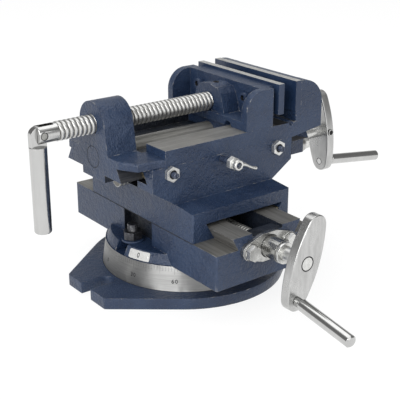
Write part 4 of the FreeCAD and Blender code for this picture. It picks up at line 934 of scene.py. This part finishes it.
@dataclass
class GibScrews(Piece):
    """Cut threads on the free ends of the four gib screws, over the plain packed ones."""

    radius: float = 4.0 * MM
    root: float = 3.35 * MM
    pitch: float = 1.25 * MM
    end_radius: float = 2.8 * MM
    end_ease: float = 0.5 * MM
    nut: float = 4.3 * MM
    stand: float = 9.5 * MM
    slot: float = 1.0 * MM
    slot_depth: float = 1.2 * MM

    def build(self) -> None:
        """Replace both pairs of screws by threaded ones of the same reach, with slotted ends."""
        rows = (("upper_gib_screws", Axis.Y, -1.0, mm(62.5, 49.1, 62.5, 129.5)),
                ("lower_gib_screws", Axis.X, 1.0, mm(57.5, 45.1, 58.0, 75.0)))
        for node, axis, way, (wall, inner, across, height) in rows:
            for number, side in enumerate((-across, across)):
                centre = (side, 0.0, height) if axis is Axis.Y else (0.0, side, height)
                low, high = sorted((way * inner, way * (wall + self.nut)))
                name = "%s_thread_%d" % (node, number)
                thread = Thread(axis, centre, low, high, self.radius, self.root, self.pitch, steps=20,
                                points=6, fullness=1.2)
                self.place(name, thread.mesh(name, 60), Look.black, "saddle", "black_oxide", node)
                self.place("%s_end_%d" % (node, number), self.tip(axis, centre, way, wall), Look.head_metal,
                           "saddle", "black_oxide", node)

    def tip(self, axis: Axis, centre: Point, way: float, wall: float) -> bpy.types.Mesh:
        """Build one reduced end with its screwdriver slot.

        Args:
            axis: the screw's axis.
            centre: a point on it.
            way: 1 or -1, the way the end points.
            wall: the distance of the wall that the nut sits on.

        Returns:
            The mesh, in the frame.
        """
        start, end = way * (wall + self.nut - MM), way * (wall + self.stand)
        outline = [(start, 0.0), (start, self.end_radius), (end - way * self.end_ease, self.end_radius),
                   (end, self.end_radius - self.end_ease), (end, 0.0)]
        deep, long = 2 * self.slot_depth, 8 * MM
        size = (deep, self.slot, long) if axis is Axis.X else (self.slot, deep, long)
        cutter = box(Vector(centre) + axis.vector * end, Vector(size))
        return carve(write(revolve(outline, axis, centre, 28), "screw_end"), write(cutter, "cutter"))


@dataclass
class Seam(Piece):
    """A dark hairline where one round piece ends flush in another."""

    name: str
    body: str
    axis: Axis
    centre: Point
    radius: float
    half: float = 0.3 * MM
    proud: float = 0.04 * MM
    finish: Finish = Look.shade

    def build(self) -> None:
        """Lay the hairline as a thin flat ring."""
        inner, outer = self.radius - self.half, self.radius + self.half
        outline = [(-self.proud, inner), (self.proud, inner), (self.proud, outer), (-self.proud, outer)]
        shape = revolve(outline, self.axis, self.centre, closed=True)
        self.place(self.name, shape, self.finish, self.body)


@dataclass
class Strip(Piece):
    """A thin dark strip that shows the joint between two flat faces."""

    name: str
    body: str
    low: Point
    high: Point

    def build(self) -> None:
        """Lay the strip between its two corners, with its edges rounded off."""
        size = Vector(self.high) - Vector(self.low)
        shape = box((Vector(self.high) + Vector(self.low)) / 2, size)
        bmesh.ops.bevel(shape, geom=shape.edges[:], offset=min(size) / 4, segments=2, affect="EDGES")
        self.place(self.name, shape, Look.shade, self.body)


@dataclass
class Seams(Piece):
    """All dark joint lines and strips."""

    bolt: float = 7.55 * MM
    boss: float = 10.75 * MM
    hub: float = 6.5 * MM
    rivet: float = 3.4 * MM

    def build(self) -> None:
        """Lay each line where two pieces meet."""
        x, y, z = Axis
        bolts, slot = 22.7, 3.5
        lines = [
            Seam("guide_bar_seam", "vise_body", x, mm(-104, 0, 137), 10.0 * MM, 0.32 * MM),
            Seam("lower_hub_seam", "lower_screw", y, mm(0, -175, 65.5), self.hub, 0.55 * MM),
            Seam("upper_hub_seam", "upper_screw", x, mm(188, 0, 109.5), self.hub, 0.55 * MM),
            Seam("oil_cup", "movable_jaw", z, mm(37.5, 0, 184.95), 2.45 * MM, 0.6 * MM, 0.32 * MM),
            Seam("handle_pin_seam", "vise_screw", y, mm(-155.7, -8.1, 167.7), 3.3 * MM, proud=0.45 * MM),
            Seam("lower_boss_seam", "lower_slide", y, mm(0, -126.5, 65.5), self.boss, 0.4 * MM),
            Seam("upper_boss_seam", "vise_body", x, mm(132, 0, 109.5), self.boss, 0.4 * MM),
            Seam("lower_rivet_seam", "lower_screw", y, mm(-10.51, -165, 33.16), self.rivet, finish=Look.ink),
            Seam("upper_rivet_seam", "upper_screw", x, mm(178, -5.32, 75.92), self.rivet, finish=Look.ink),
            Strip("saddle_seam", "saddle", mm(-57.62, -87, 68), mm(-57.3, 82.5, 68.9)),
        ]
        for number, side in enumerate((-1, 1)):
            lines += [
                Seam("lower_bolt_seam_%d" % number, "lower_slide", y, mm(side * bolts, -128.1, 65.5),
                     self.bolt),
                Seam("upper_bolt_seam_%d" % number, "vise_body", x, mm(133.6, -side * bolts, 109.5),
                     self.bolt),
                Strip("handle_slot_" + ("front", "back")[number], "vise_screw",
                      mm(-160.05, side * slot - 0.25, 160.9), mm(-159.5, side * slot + 0.25, 174.5)),
            ]
        for line in lines:
            line.build()


@dataclass
class LockLever(Piece):
    """The small cast lever of the slide lock: six-sided back, round eye and a thin bent tail.

    bend lists the tail's places across and up from the centre with its radius there, in millimetres.
    """

    centre: tuple[float, float] = mm(-4.5, 131.5)
    back: float = -75.5 * MM
    neck: float = -81.5 * MM
    front: float = -87.6 * MM
    tail_y: float = -84.9 * MM
    bore: float = 3.05 * MM
    eye: float = 5.0 * MM
    waist: float = 4.3 * MM
    corners: float = 6.3 * MM
    counterbore: float = 3.6 * MM
    round: float = 0.6 * MM
    sides: int = 20
    bend: tuple[Point, ...] = ((3.6, -0.1, 2.3), (6.2, -0.5, 2.1), (8.8, -1.5, 1.75), (11.6, -3.0, 1.5),
                               (14.4, -4.6, 1.4), (17.4, -6.1, 1.45), (20.0, -7.0, 1.7), (21.6, -7.4, 1.9),
                               (22.2, -7.55, 1.6))

    def build(self) -> None:
        """Build the three parts of the casting and hide the plain solid."""
        middle = (self.centre[0], 0.0, self.centre[1])
        eye = [(self.neck, self.bore), (self.neck, self.waist), (self.neck - 1.5 * MM, self.waist + 0.2 * MM),
               (self.neck - 2.6 * MM, self.eye), (self.front + self.round, self.eye),
               (self.front + 0.2 * MM, self.eye - 0.25 * MM), (self.front, self.eye - self.round),
               (self.front, self.bore)]
        inner = self.neck - 0.2 * MM
        back = [(self.back, self.counterbore), (self.back, self.corners - self.round),
                (self.back - self.round, self.corners), (self.neck + self.round, self.corners),
                (inner, self.corners - 1.4 * MM), (inner, self.counterbore)]
        parts = (("eye", revolve(eye, Axis.Y, middle, closed=True), "lock_lever"),
                 ("back", revolve(back, Axis.Y, middle, 6, closed=True), ""),
                 ("tail", self.tail(), ""))
        for name, mesh, node in parts:
            self.place("lock_lever_" + name, mesh, Look.zinc, "slide_lock", "zinc_plating", node)

    def tail(self) -> bpy.types.Mesh:
        """Sweep round sections of changing radius along the bent tail.

        Returns:
            The mesh, in the frame.
        """
        rings = []
        for number, (across, up, radius) in enumerate(self.bend):
            before, after = self.bend[max(number - 1, 0)], self.bend[min(number + 1, len(self.bend) - 1)]
            side = Vector((before[1] - after[1], 0.0, after[0] - before[0])).normalized()
            where = Vector((self.centre[0] + across * MM, self.tail_y, self.centre[1] + up * MM))
            angles = [2 * math.pi * k / self.sides for k in range(self.sides)]
            rings.append([where + (side * math.cos(a) + Axis.Y.vector * math.sin(a)) * radius * MM
                          for a in angles])
        return write(loft(rings), "lock_lever_tail", 50)


@dataclass
class ArmHole(Piece):
    """Mouth of the clamping screw's hole on the front edge of the upper crank's arm."""

    centre: Point = mm(182.8, -16.85, 110.4)
    hole: float = 2.6 * MM
    rim: float = 3.5 * MM
    ease: float = 0.3 * MM
    proud: float = 0.12 * MM
    pit: float = 1.3 * MM

    def build(self) -> None:
        """Set a near-black mouth, painted shade in the hole, in a bright countersunk rim."""
        rim = [(0.5 * MM, self.hole), (0.5 * MM, self.rim), (0.0, self.rim),
               (-self.proud, self.rim - self.ease), (-0.02 * MM, self.hole)]
        self.place("upper_arm_hole_rim", revolve(rim, Axis.Y, self.centre, 28, closed=True), Look.plating,
                   "upper_screw")
        # A near-black disc in the mouth: painted shade.
        mouth = [(0.5 * MM, 0.0), (0.5 * MM, self.hole), (-0.05 * MM, self.hole), (-0.05 * MM, self.pit),
                 (-0.02 * MM, 0.0)]
        self.place("upper_arm_hole", revolve(mouth, Axis.Y, self.centre, 28), Look.shade, "upper_screw")


@dataclass
class StudThreads(Piece):
    """Thread ridges on the bare ends of the two swivel bolts."""

    across: float = 63.5 * MM
    low: float = 54.7 * MM
    high: float = 61.0 * MM
    crest: float = 5.14 * MM
    root: float = 4.85 * MM
    pitch: float = 1.5 * MM

    def build(self) -> None:
        """Wrap ridges round each bare end."""
        for number, side in enumerate((-self.across, self.across)):
            name = "swivel_stud_thread_%d" % number
            thread = Thread(Axis.Z, (side, 0.0, 0.0), self.low, self.high, self.crest, self.root, self.pitch,
                            steps=24, points=8, fullness=1.0)
            self.place(name, thread.mesh(name, 60), Look.stud, "lower_slide")


@dataclass
class IndexMark(Piece):
    """The white index plate with its rounded corners, printed zero and two small rivets.

    ends, zero_at and rivets_at are degrees round the drum.
    """

    ends: Span = (190.0, 207.5)
    levels: Span = mm(35.9, 43.6)
    corner: float = 1.3 * MM
    zero_at: float = 198.3
    rivets_at: Span = (191.8, 205.7)
    rivet: float = 1.6 * MM
    rivet_line: float = 0.78 * MM
    height: float = 39.75 * MM
    low_z: float = 35.0 * MM
    low_radius: float = 79.5 * MM
    slope: float = 4.5 / 9.5
    thick: float = 0.6 * MM
    tall: float = 4.4 * MM
    wide: float = 2.9 * MM
    line: float = 0.72 * MM
    sides: int = 24

    def point(self, degree: float, z: float, out: float) -> Vector:
        """Give a point on the plate's face by angle, height and distance off it."""
        radius = self.low_radius - (z - self.low_z) * self.slope + self.thick + out
        angle = math.radians(degree)
        return Vector((radius * math.cos(angle), radius * math.sin(angle), z))

    def oval(self, degree: float, wide: float, tall: float, line: float) -> Shape:
        """Lay an oval ring, or a filled oval when line is half its width, on the plate.

        Args:
            degree: the angle of its middle.
            wide: its width.
            tall: its height.
            line: the width of its line.

        Returns:
            The shape, for write.
        """
        rings = []
        for inset, out in ((0.0, -0.2 * MM), (0.0, 0.04 * MM), (line, 0.04 * MM), (line, -0.2 * MM)):
            ring = []
            for step in range(self.sides):
                turn = 2 * math.pi * step / self.sides
                shift = math.degrees((wide / 2 - inset) * math.cos(turn) / self.low_radius)
                rise = (tall / 2 - inset) * math.sin(turn)
                ring.append(self.point(degree + shift, self.height + rise, out))
            rings.append(ring)
        return loft(rings, closed=True)

    def plate(self) -> Shape:
        """Build the plate as columns bent round the drum, cut short at its corners.

        Returns:
            The shape, for write.
        """
        columns = []
        span = math.radians(self.ends[1] - self.ends[0]) * self.low_radius
        turns = [self.corner * (1 - math.cos(math.pi / 2 * k / 5)) for k in range(6)]
        for place in turns + [span * k / 12 for k in range(2, 11)] + [span - v for v in reversed(turns)]:
            near = max(0.0, self.corner - min(place, span - place))
            trim = self.corner - math.sqrt(max(0.0, self.corner ** 2 - near ** 2))
            degree = self.ends[0] + math.degrees(place / self.low_radius)
            low, high = self.levels[0] + trim, self.levels[1] - trim
            columns.append([self.point(degree, z, out) for z, out in
                            ((low, -self.thick), (low, 0.0), (high, 0.0), (high, -self.thick))])
        return loft(columns)

    def build(self) -> None:
        """Bend the plate, print the zero and set the rivets."""
        self.place("index_plate_face", self.plate(), Look.white, "lower_slide", "plate_white", "index_plate")
        self.place("index_zero", self.oval(self.zero_at, self.wide, self.tall, self.line), Look.ink,
                   "lower_slide")
        for number, degree in enumerate(self.rivets_at):
            shape = self.oval(degree, self.rivet, self.rivet, self.rivet_line)
            self.place("index_rivet_%d" % number, shape, Look.zinc, "lower_slide")


@dataclass
class ViseScrew(Piece):
    """The clamping screw: cut thread, plain pilot and slotted end."""

    height: float = 167.7 * MM
    crest: float = 9.0 * MM
    root: float = 7.7 * MM
    pitch: float = 4.5 * MM
    far: float = 27.6 * MM
    near: float = -141.0 * MM
    pilot: float = 45.0 * MM
    pilot_radius: float = 8.0 * MM
    end_radius: float = 8.5 * MM
    end: float = -160.0 * MM
    end_round: float = 1.0 * MM
    slot: float = 7.0 * MM
    slot_end: float = -144.0 * MM
    pin_x: float = -155.7 * MM
    pin_radius: float = 3.2 * MM

    def build(self) -> None:
        """Build thread, slotted end and pilot, and hide the plain solid."""
        centre = (0.0, 0.0, self.height)
        thread = Thread(Axis.X, centre, self.near, self.far, self.crest, self.root, self.pitch)
        self.place("vise_screw_thread", thread.mesh("vise_screw_thread", 50),
                   ThreadMetal("vise screw thread", Axis.X, centre, self.root, self.crest), "vise_screw",
                   "bright_steel", "vise_screw")
        self.place("vise_screw_end", self.clevis(centre), Look.plating, "vise_screw", "bright_steel")
        pilot = revolve([(self.far - MM, self.pilot_radius), (self.pilot, self.pilot_radius)], Axis.X, centre)
        self.place("vise_screw_pilot", pilot, Look.steel, "vise_screw", "bright_steel")

    def clevis(self, centre: Point) -> bpy.types.Mesh:
        """Build the plain end with its rounded edge, through slot and pin hole.

        Args:
            centre: a point on the screw's axis.

        Returns:
            The mesh, in the frame.
        """
        outline = [(self.end, 0.0)]
        for step in range(5):
            angle = math.pi / 2 * step / 4
            outline.append((self.end + self.end_round * (1 - math.cos(angle)),
                            self.end_radius - self.end_round * (1 - math.sin(angle))))
        inner = self.near + 0.2 * MM
        outline += [(inner, self.end_radius), (inner, 0.0)]
        body = write(revolve(outline, Axis.X, centre, 48), "clevis")
        low, reach = self.end - 5 * MM, 2 * self.end_radius
        cutter = box(Vector(((self.slot_end + low) / 2, 0.0, self.height)),
                     Vector((self.slot_end - low, self.slot, 2 * reach)))
        hole = revolve([(-reach, self.pin_radius), (reach, self.pin_radius)], Axis.Y,
                       (self.pin_x, 0.0, self.height), 28)
        return carve(carve(body, write(cutter, "cutter")), write(hole, "hole"))


@dataclass
class LeadScrew(Piece):
    """One of the two cross slide screws, with its cut thread and plain journal."""

    node: str
    body: str
    axis: Axis
    centre: Point
    thread_from: float
    thread_to: float
    neck_to: float
    crest: float = 7.0 * MM
    root: float = 5.9 * MM
    neck: float = 6.9 * MM
    pitch: float = 3.5 * MM
    overlap: float = 0.5 * MM

    def build(self) -> None:
        """Build the thread and the plain journal, and hide the plain solid."""
        low, high = sorted((self.thread_from, self.thread_to))
        thread = Thread(self.axis, self.centre, low, high, self.crest, self.root, self.pitch, steps=28)
        metal = ThreadMetal(self.node + " thread", self.axis, self.centre, self.root, self.crest, "b9b9b6")
        self.place(self.node + "_thread", thread.mesh(self.node + "_thread", 30), metal, self.body,
                   "bright_steel", self.node)
        inner = self.thread_to + math.copysign(self.overlap, self.thread_from - self.thread_to)
        ends = [(place, self.neck) for place in sorted((inner, self.neck_to))]
        self.place(self.node + "_journal", revolve(ends, self.axis, self.centre), Look.zinc, self.body,
                   "bright_steel")


@dataclass
class DrumScale(Piece):
    """Engraved degree marks and numbers on the tapered drum of the base."""

    foot_z: float = 11.0 * MM
    top_z: float = 35.0 * MM
    foot_radius: float = 84.0 * MM
    top_radius: float = 80.5 * MM
    proud: float = 0.03 * MM
    mark_width: float = 0.32 * MM
    mark_below: float = 0.6 * MM
    mark_sunk: float = 0.3 * MM
    long_mark: float = 7.0 * MM
    short_mark: float = 4.2 * MM
    digit_height: float = 4.0 * MM
    digit_share: float = 0.72
    digit_z: float = 20.8 * MM
    digit_sunk: float = 0.2 * MM
    zero_at: int = 166
    bold: float = 0.09 * MM
    foot_line: Span = mm(0.05, 0.5)

    def point(self, angle: float, z: float, out: float) -> Vector:
        """Give a point on the drum by angle, height and distance off it."""
        share = (z - self.foot_z) / (self.top_z - self.foot_z)
        radius = self.foot_radius + share * (self.top_radius - self.foot_radius) + out
        return Vector((radius * math.cos(angle), radius * math.sin(angle), z))

    def build(self) -> None:
        """Cut the marks all round, set the numbers and draw the line at the drum's foot."""
        shape = bmesh.new()
        high = self.top_z - self.mark_below
        for step in range(0, 360, 2):
            length = self.short_mark if step % 10 else self.long_mark
            self.mark(shape, math.radians(step + self.zero_at), high - length, high)
        self.place("drum_marks", shape, Look.faint, "base")
        for degree in range(-90, 270, 30):
            self.number(str(abs(degree) if degree <= 90 else abs(180 - degree)), self.zero_at + degree)
        tall, wide = self.foot_line
        foot = [(0.0, self.foot_radius), (tall, self.foot_radius), (tall, self.foot_radius + wide),
                (0.0, self.foot_radius + wide)]
        line = revolve(foot, Axis.Z, (0.0, 0.0, self.foot_z), 96, closed=True)
        self.place("drum_foot_line", line, Look.shade, "base")

    def mark(self, shape: Shape, angle: float, low: float, high: float) -> None:
        """Add one mark as a thin filled groove.

        Args:
            shape: the mesh that all marks share.
            angle: its place round the drum.
            low: its lower end.
            high: its upper end.
        """
        half = self.mark_width / 2 / self.top_radius
        around = ((angle - half, low), (angle + half, low), (angle + half, high), (angle - half, high))
        corners = [shape.verts.new(self.point(a, z, out)) for out in (-self.mark_sunk, self.proud)
                   for a, z in around]
        for ids in ((4, 5, 6, 7), (0, 1, 5, 4), (1, 2, 6, 5), (2, 3, 7, 6), (3, 0, 4, 7), (3, 2, 1, 0)):
            shape.faces.new([corners[i] for i in ids])

    def number(self, text: str, degree: float) -> None:
        """Bend a number onto the drum.

        Args:
            text: its digits.
            degree: where its middle goes.
        """
        curve = bpy.data.curves.new("digits", "FONT")
        curve.body = text
        curve.size = self.digit_height / self.digit_share
        curve.space_character = 1.25
        curve.align_x = "CENTER"
        curve.extrude = 0.15 * MM
        curve.offset = self.bold
        mesh = final_mesh(link("digits", curve))
        for vertex in mesh.vertices:
            angle = math.radians(degree) + vertex.co.x / self.foot_radius
            out = self.proud if vertex.co.z > 0 else -self.digit_sunk
            vertex.co = self.point(angle, self.digit_z - self.digit_height / 2 + vertex.co.y, out)
        self.place("drum_number_%s_%d" % (text, round(degree) % 360), mesh, Look.ink, "base")


@dataclass
class Studio:
    """Camera, lamps, floor and backdrop light.

    card is the strength of a dark card that only reflections see. seen is the share of plain white in
    the floor as the camera sees it, and glow its brightness. lamps lists each lamp's name, place, side
    and power in watts.
    """

    eye: Point = (-0.5119, -0.6931, 0.4042)
    forward: Point = (0.5663, 0.7409, -0.3612)
    lens: float = 83.65
    sensor: float = 36.0
    clip: float = 0.05
    front: Point = (-0.593, -0.805, 0.0)
    card: float = 0.7
    target: Point = (0.0, 0.0, 0.1)
    ground: float = -0.2 * MM
    pale: tuple[float, float, float, float] = (0.9, 0.9, 0.9, 1.0)
    glow: float = 1.06
    seen: float = 0.8
    lamps: tuple[tuple[str, Point, float, float], ...] = (
        ("key", (-1.42, -0.64, 0.95), 1.2, 19.0), ("fill", (-0.1, -1.9, 0.5), 1.6, 7.2),
        ("top", (0.1, 0.3, 1.6), 1.6, 8.8))

    def build(self) -> None:
        """Set up the studio."""
        bpy.context.scene.view_settings.view_transform = "Standard"
        data = bpy.data.cameras.new("camera")
        data.lens = self.lens
        data.sensor_width = self.sensor
        data.clip_start = self.clip
        bpy.context.scene.camera = self.aim(data, self.eye, Vector(self.forward))
        self.sky()
        self.floor()
        for name, where, size, power in self.lamps:
            data = bpy.data.lights.new(name, "AREA")
            data.size = size
            data.energy = power
            self.aim(data, where, Vector(self.target) - Vector(where))

    @staticmethod
    def aim(data: bpy.types.ID, where: Point, way: Vector) -> bpy.types.Object:
        """Set up a camera or lamp.

        Args:
            data: the camera or lamp.
            where: its place.
            way: where it looks or shines.

        Returns:
            Its object.
        """
        made = link(data.name, data)
        made.location = where
        made.rotation_mode = "QUATERNION"
        made.rotation_quaternion = way.to_track_quat("-Z", "Y")
        return made

    def sky(self) -> None:
        """White behind the object, and for all else a soft surround with a dark card in front."""
        world = bpy.data.worlds.new("surround")
        bpy.context.scene.world = world
        world.use_nodes = True
        graph = Graph(world.node_tree)
        path = graph.add("LightPath").outputs
        way = graph.add("TexCoord").outputs["Generated"]
        height = graph.add("SeparateXYZ", {0: way}).outputs["Z"]
        behind = graph.vector("DOT_PRODUCT", way, self.front)
        upright = graph.math("MULTIPLY", graph.ramp(height, 0.0, 0.12),
                             graph.ramp(height, 0.62, 0.86, 1.0, 0.0))
        across = graph.math("MULTIPLY", graph.ramp(behind, 0.30, 0.62, 1.0, 0.0),
                            graph.ramp(behind, -0.95, -0.80))
        card = graph.math("MULTIPLY", graph.math("MULTIPLY", upright, across),
                          graph.math("MULTIPLY", path["Is Glossy Ray"], self.card))
        soft = graph.math("MULTIPLY", graph.ramp(height, 0.0, 0.8, 0.82, 0.62),
                          graph.math("SUBTRACT", 1.0, card))
        strength = graph.add("Mix", {0: path["Is Camera Ray"], 2: soft, 3: 1.0}, data_type="FLOAT")
        graph.fill(world.node_tree.nodes["Background"], {"Color": WHITE, "Strength": strength.outputs[0]})

    def floor(self) -> None:
        """Pale floor that keeps a faint shadow."""
        shape = bmesh.new()
        bmesh.ops.create_grid(shape, x_segments=1, y_segments=1, size=6.0)
        plane = link("floor", write(shape, "floor"))
        plane.location.z = self.ground
        made = bpy.data.materials.new("pale floor")
        made.use_nodes = True
        graph = Graph(made.node_tree)
        shader = made.node_tree.nodes["Principled BSDF"]
        graph.fill(shader, {"Base Color": self.pale, "Roughness": 0.9})
        glow = graph.add("Emission", {"Color": WHITE, "Strength": self.glow})
        path = graph.add("LightPath").outputs
        seen = graph.math("MAXIMUM", path["Is Camera Ray"], path["Is Glossy Ray"])
        mixed = graph.add("MixShader", {0: graph.math("MULTIPLY", seen, self.seen), 1: shader.outputs[0],
                                        2: glow.outputs[0]})
        graph.fill(made.node_tree.nodes["Material Output"], {"Surface": mixed.outputs[0]})
        plane.data.materials.append(made)


def main() -> None:
    """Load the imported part, dress it, add its details and set up the studio."""
    logging.basicConfig(level=logging.INFO, format="%(name)s: %(message)s")
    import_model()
    parts = (
        Castings(),
        Hardware(),
        ViseScrew(),
        LeadScrew("lower_lead_screw", "lower_screw", Axis.Y, mm(0, 0, 65.5), *mm(105.5, -122.1, -175)),
        LeadScrew("upper_lead_screw", "upper_screw", Axis.X, mm(0, 0, 109.5), *mm(-80, 127.6, 188)),
        GibScrews(),
        DrumScale(),
        IndexMark(),
        Seams(),
        LockLever(),
        ArmHole(),
        StudThreads(),
        Studio(),
    )
    for part in parts:
        part.build()
        LOG.info("%s is in place", type(part).__name__)


if __name__ == "__main__":
    main()
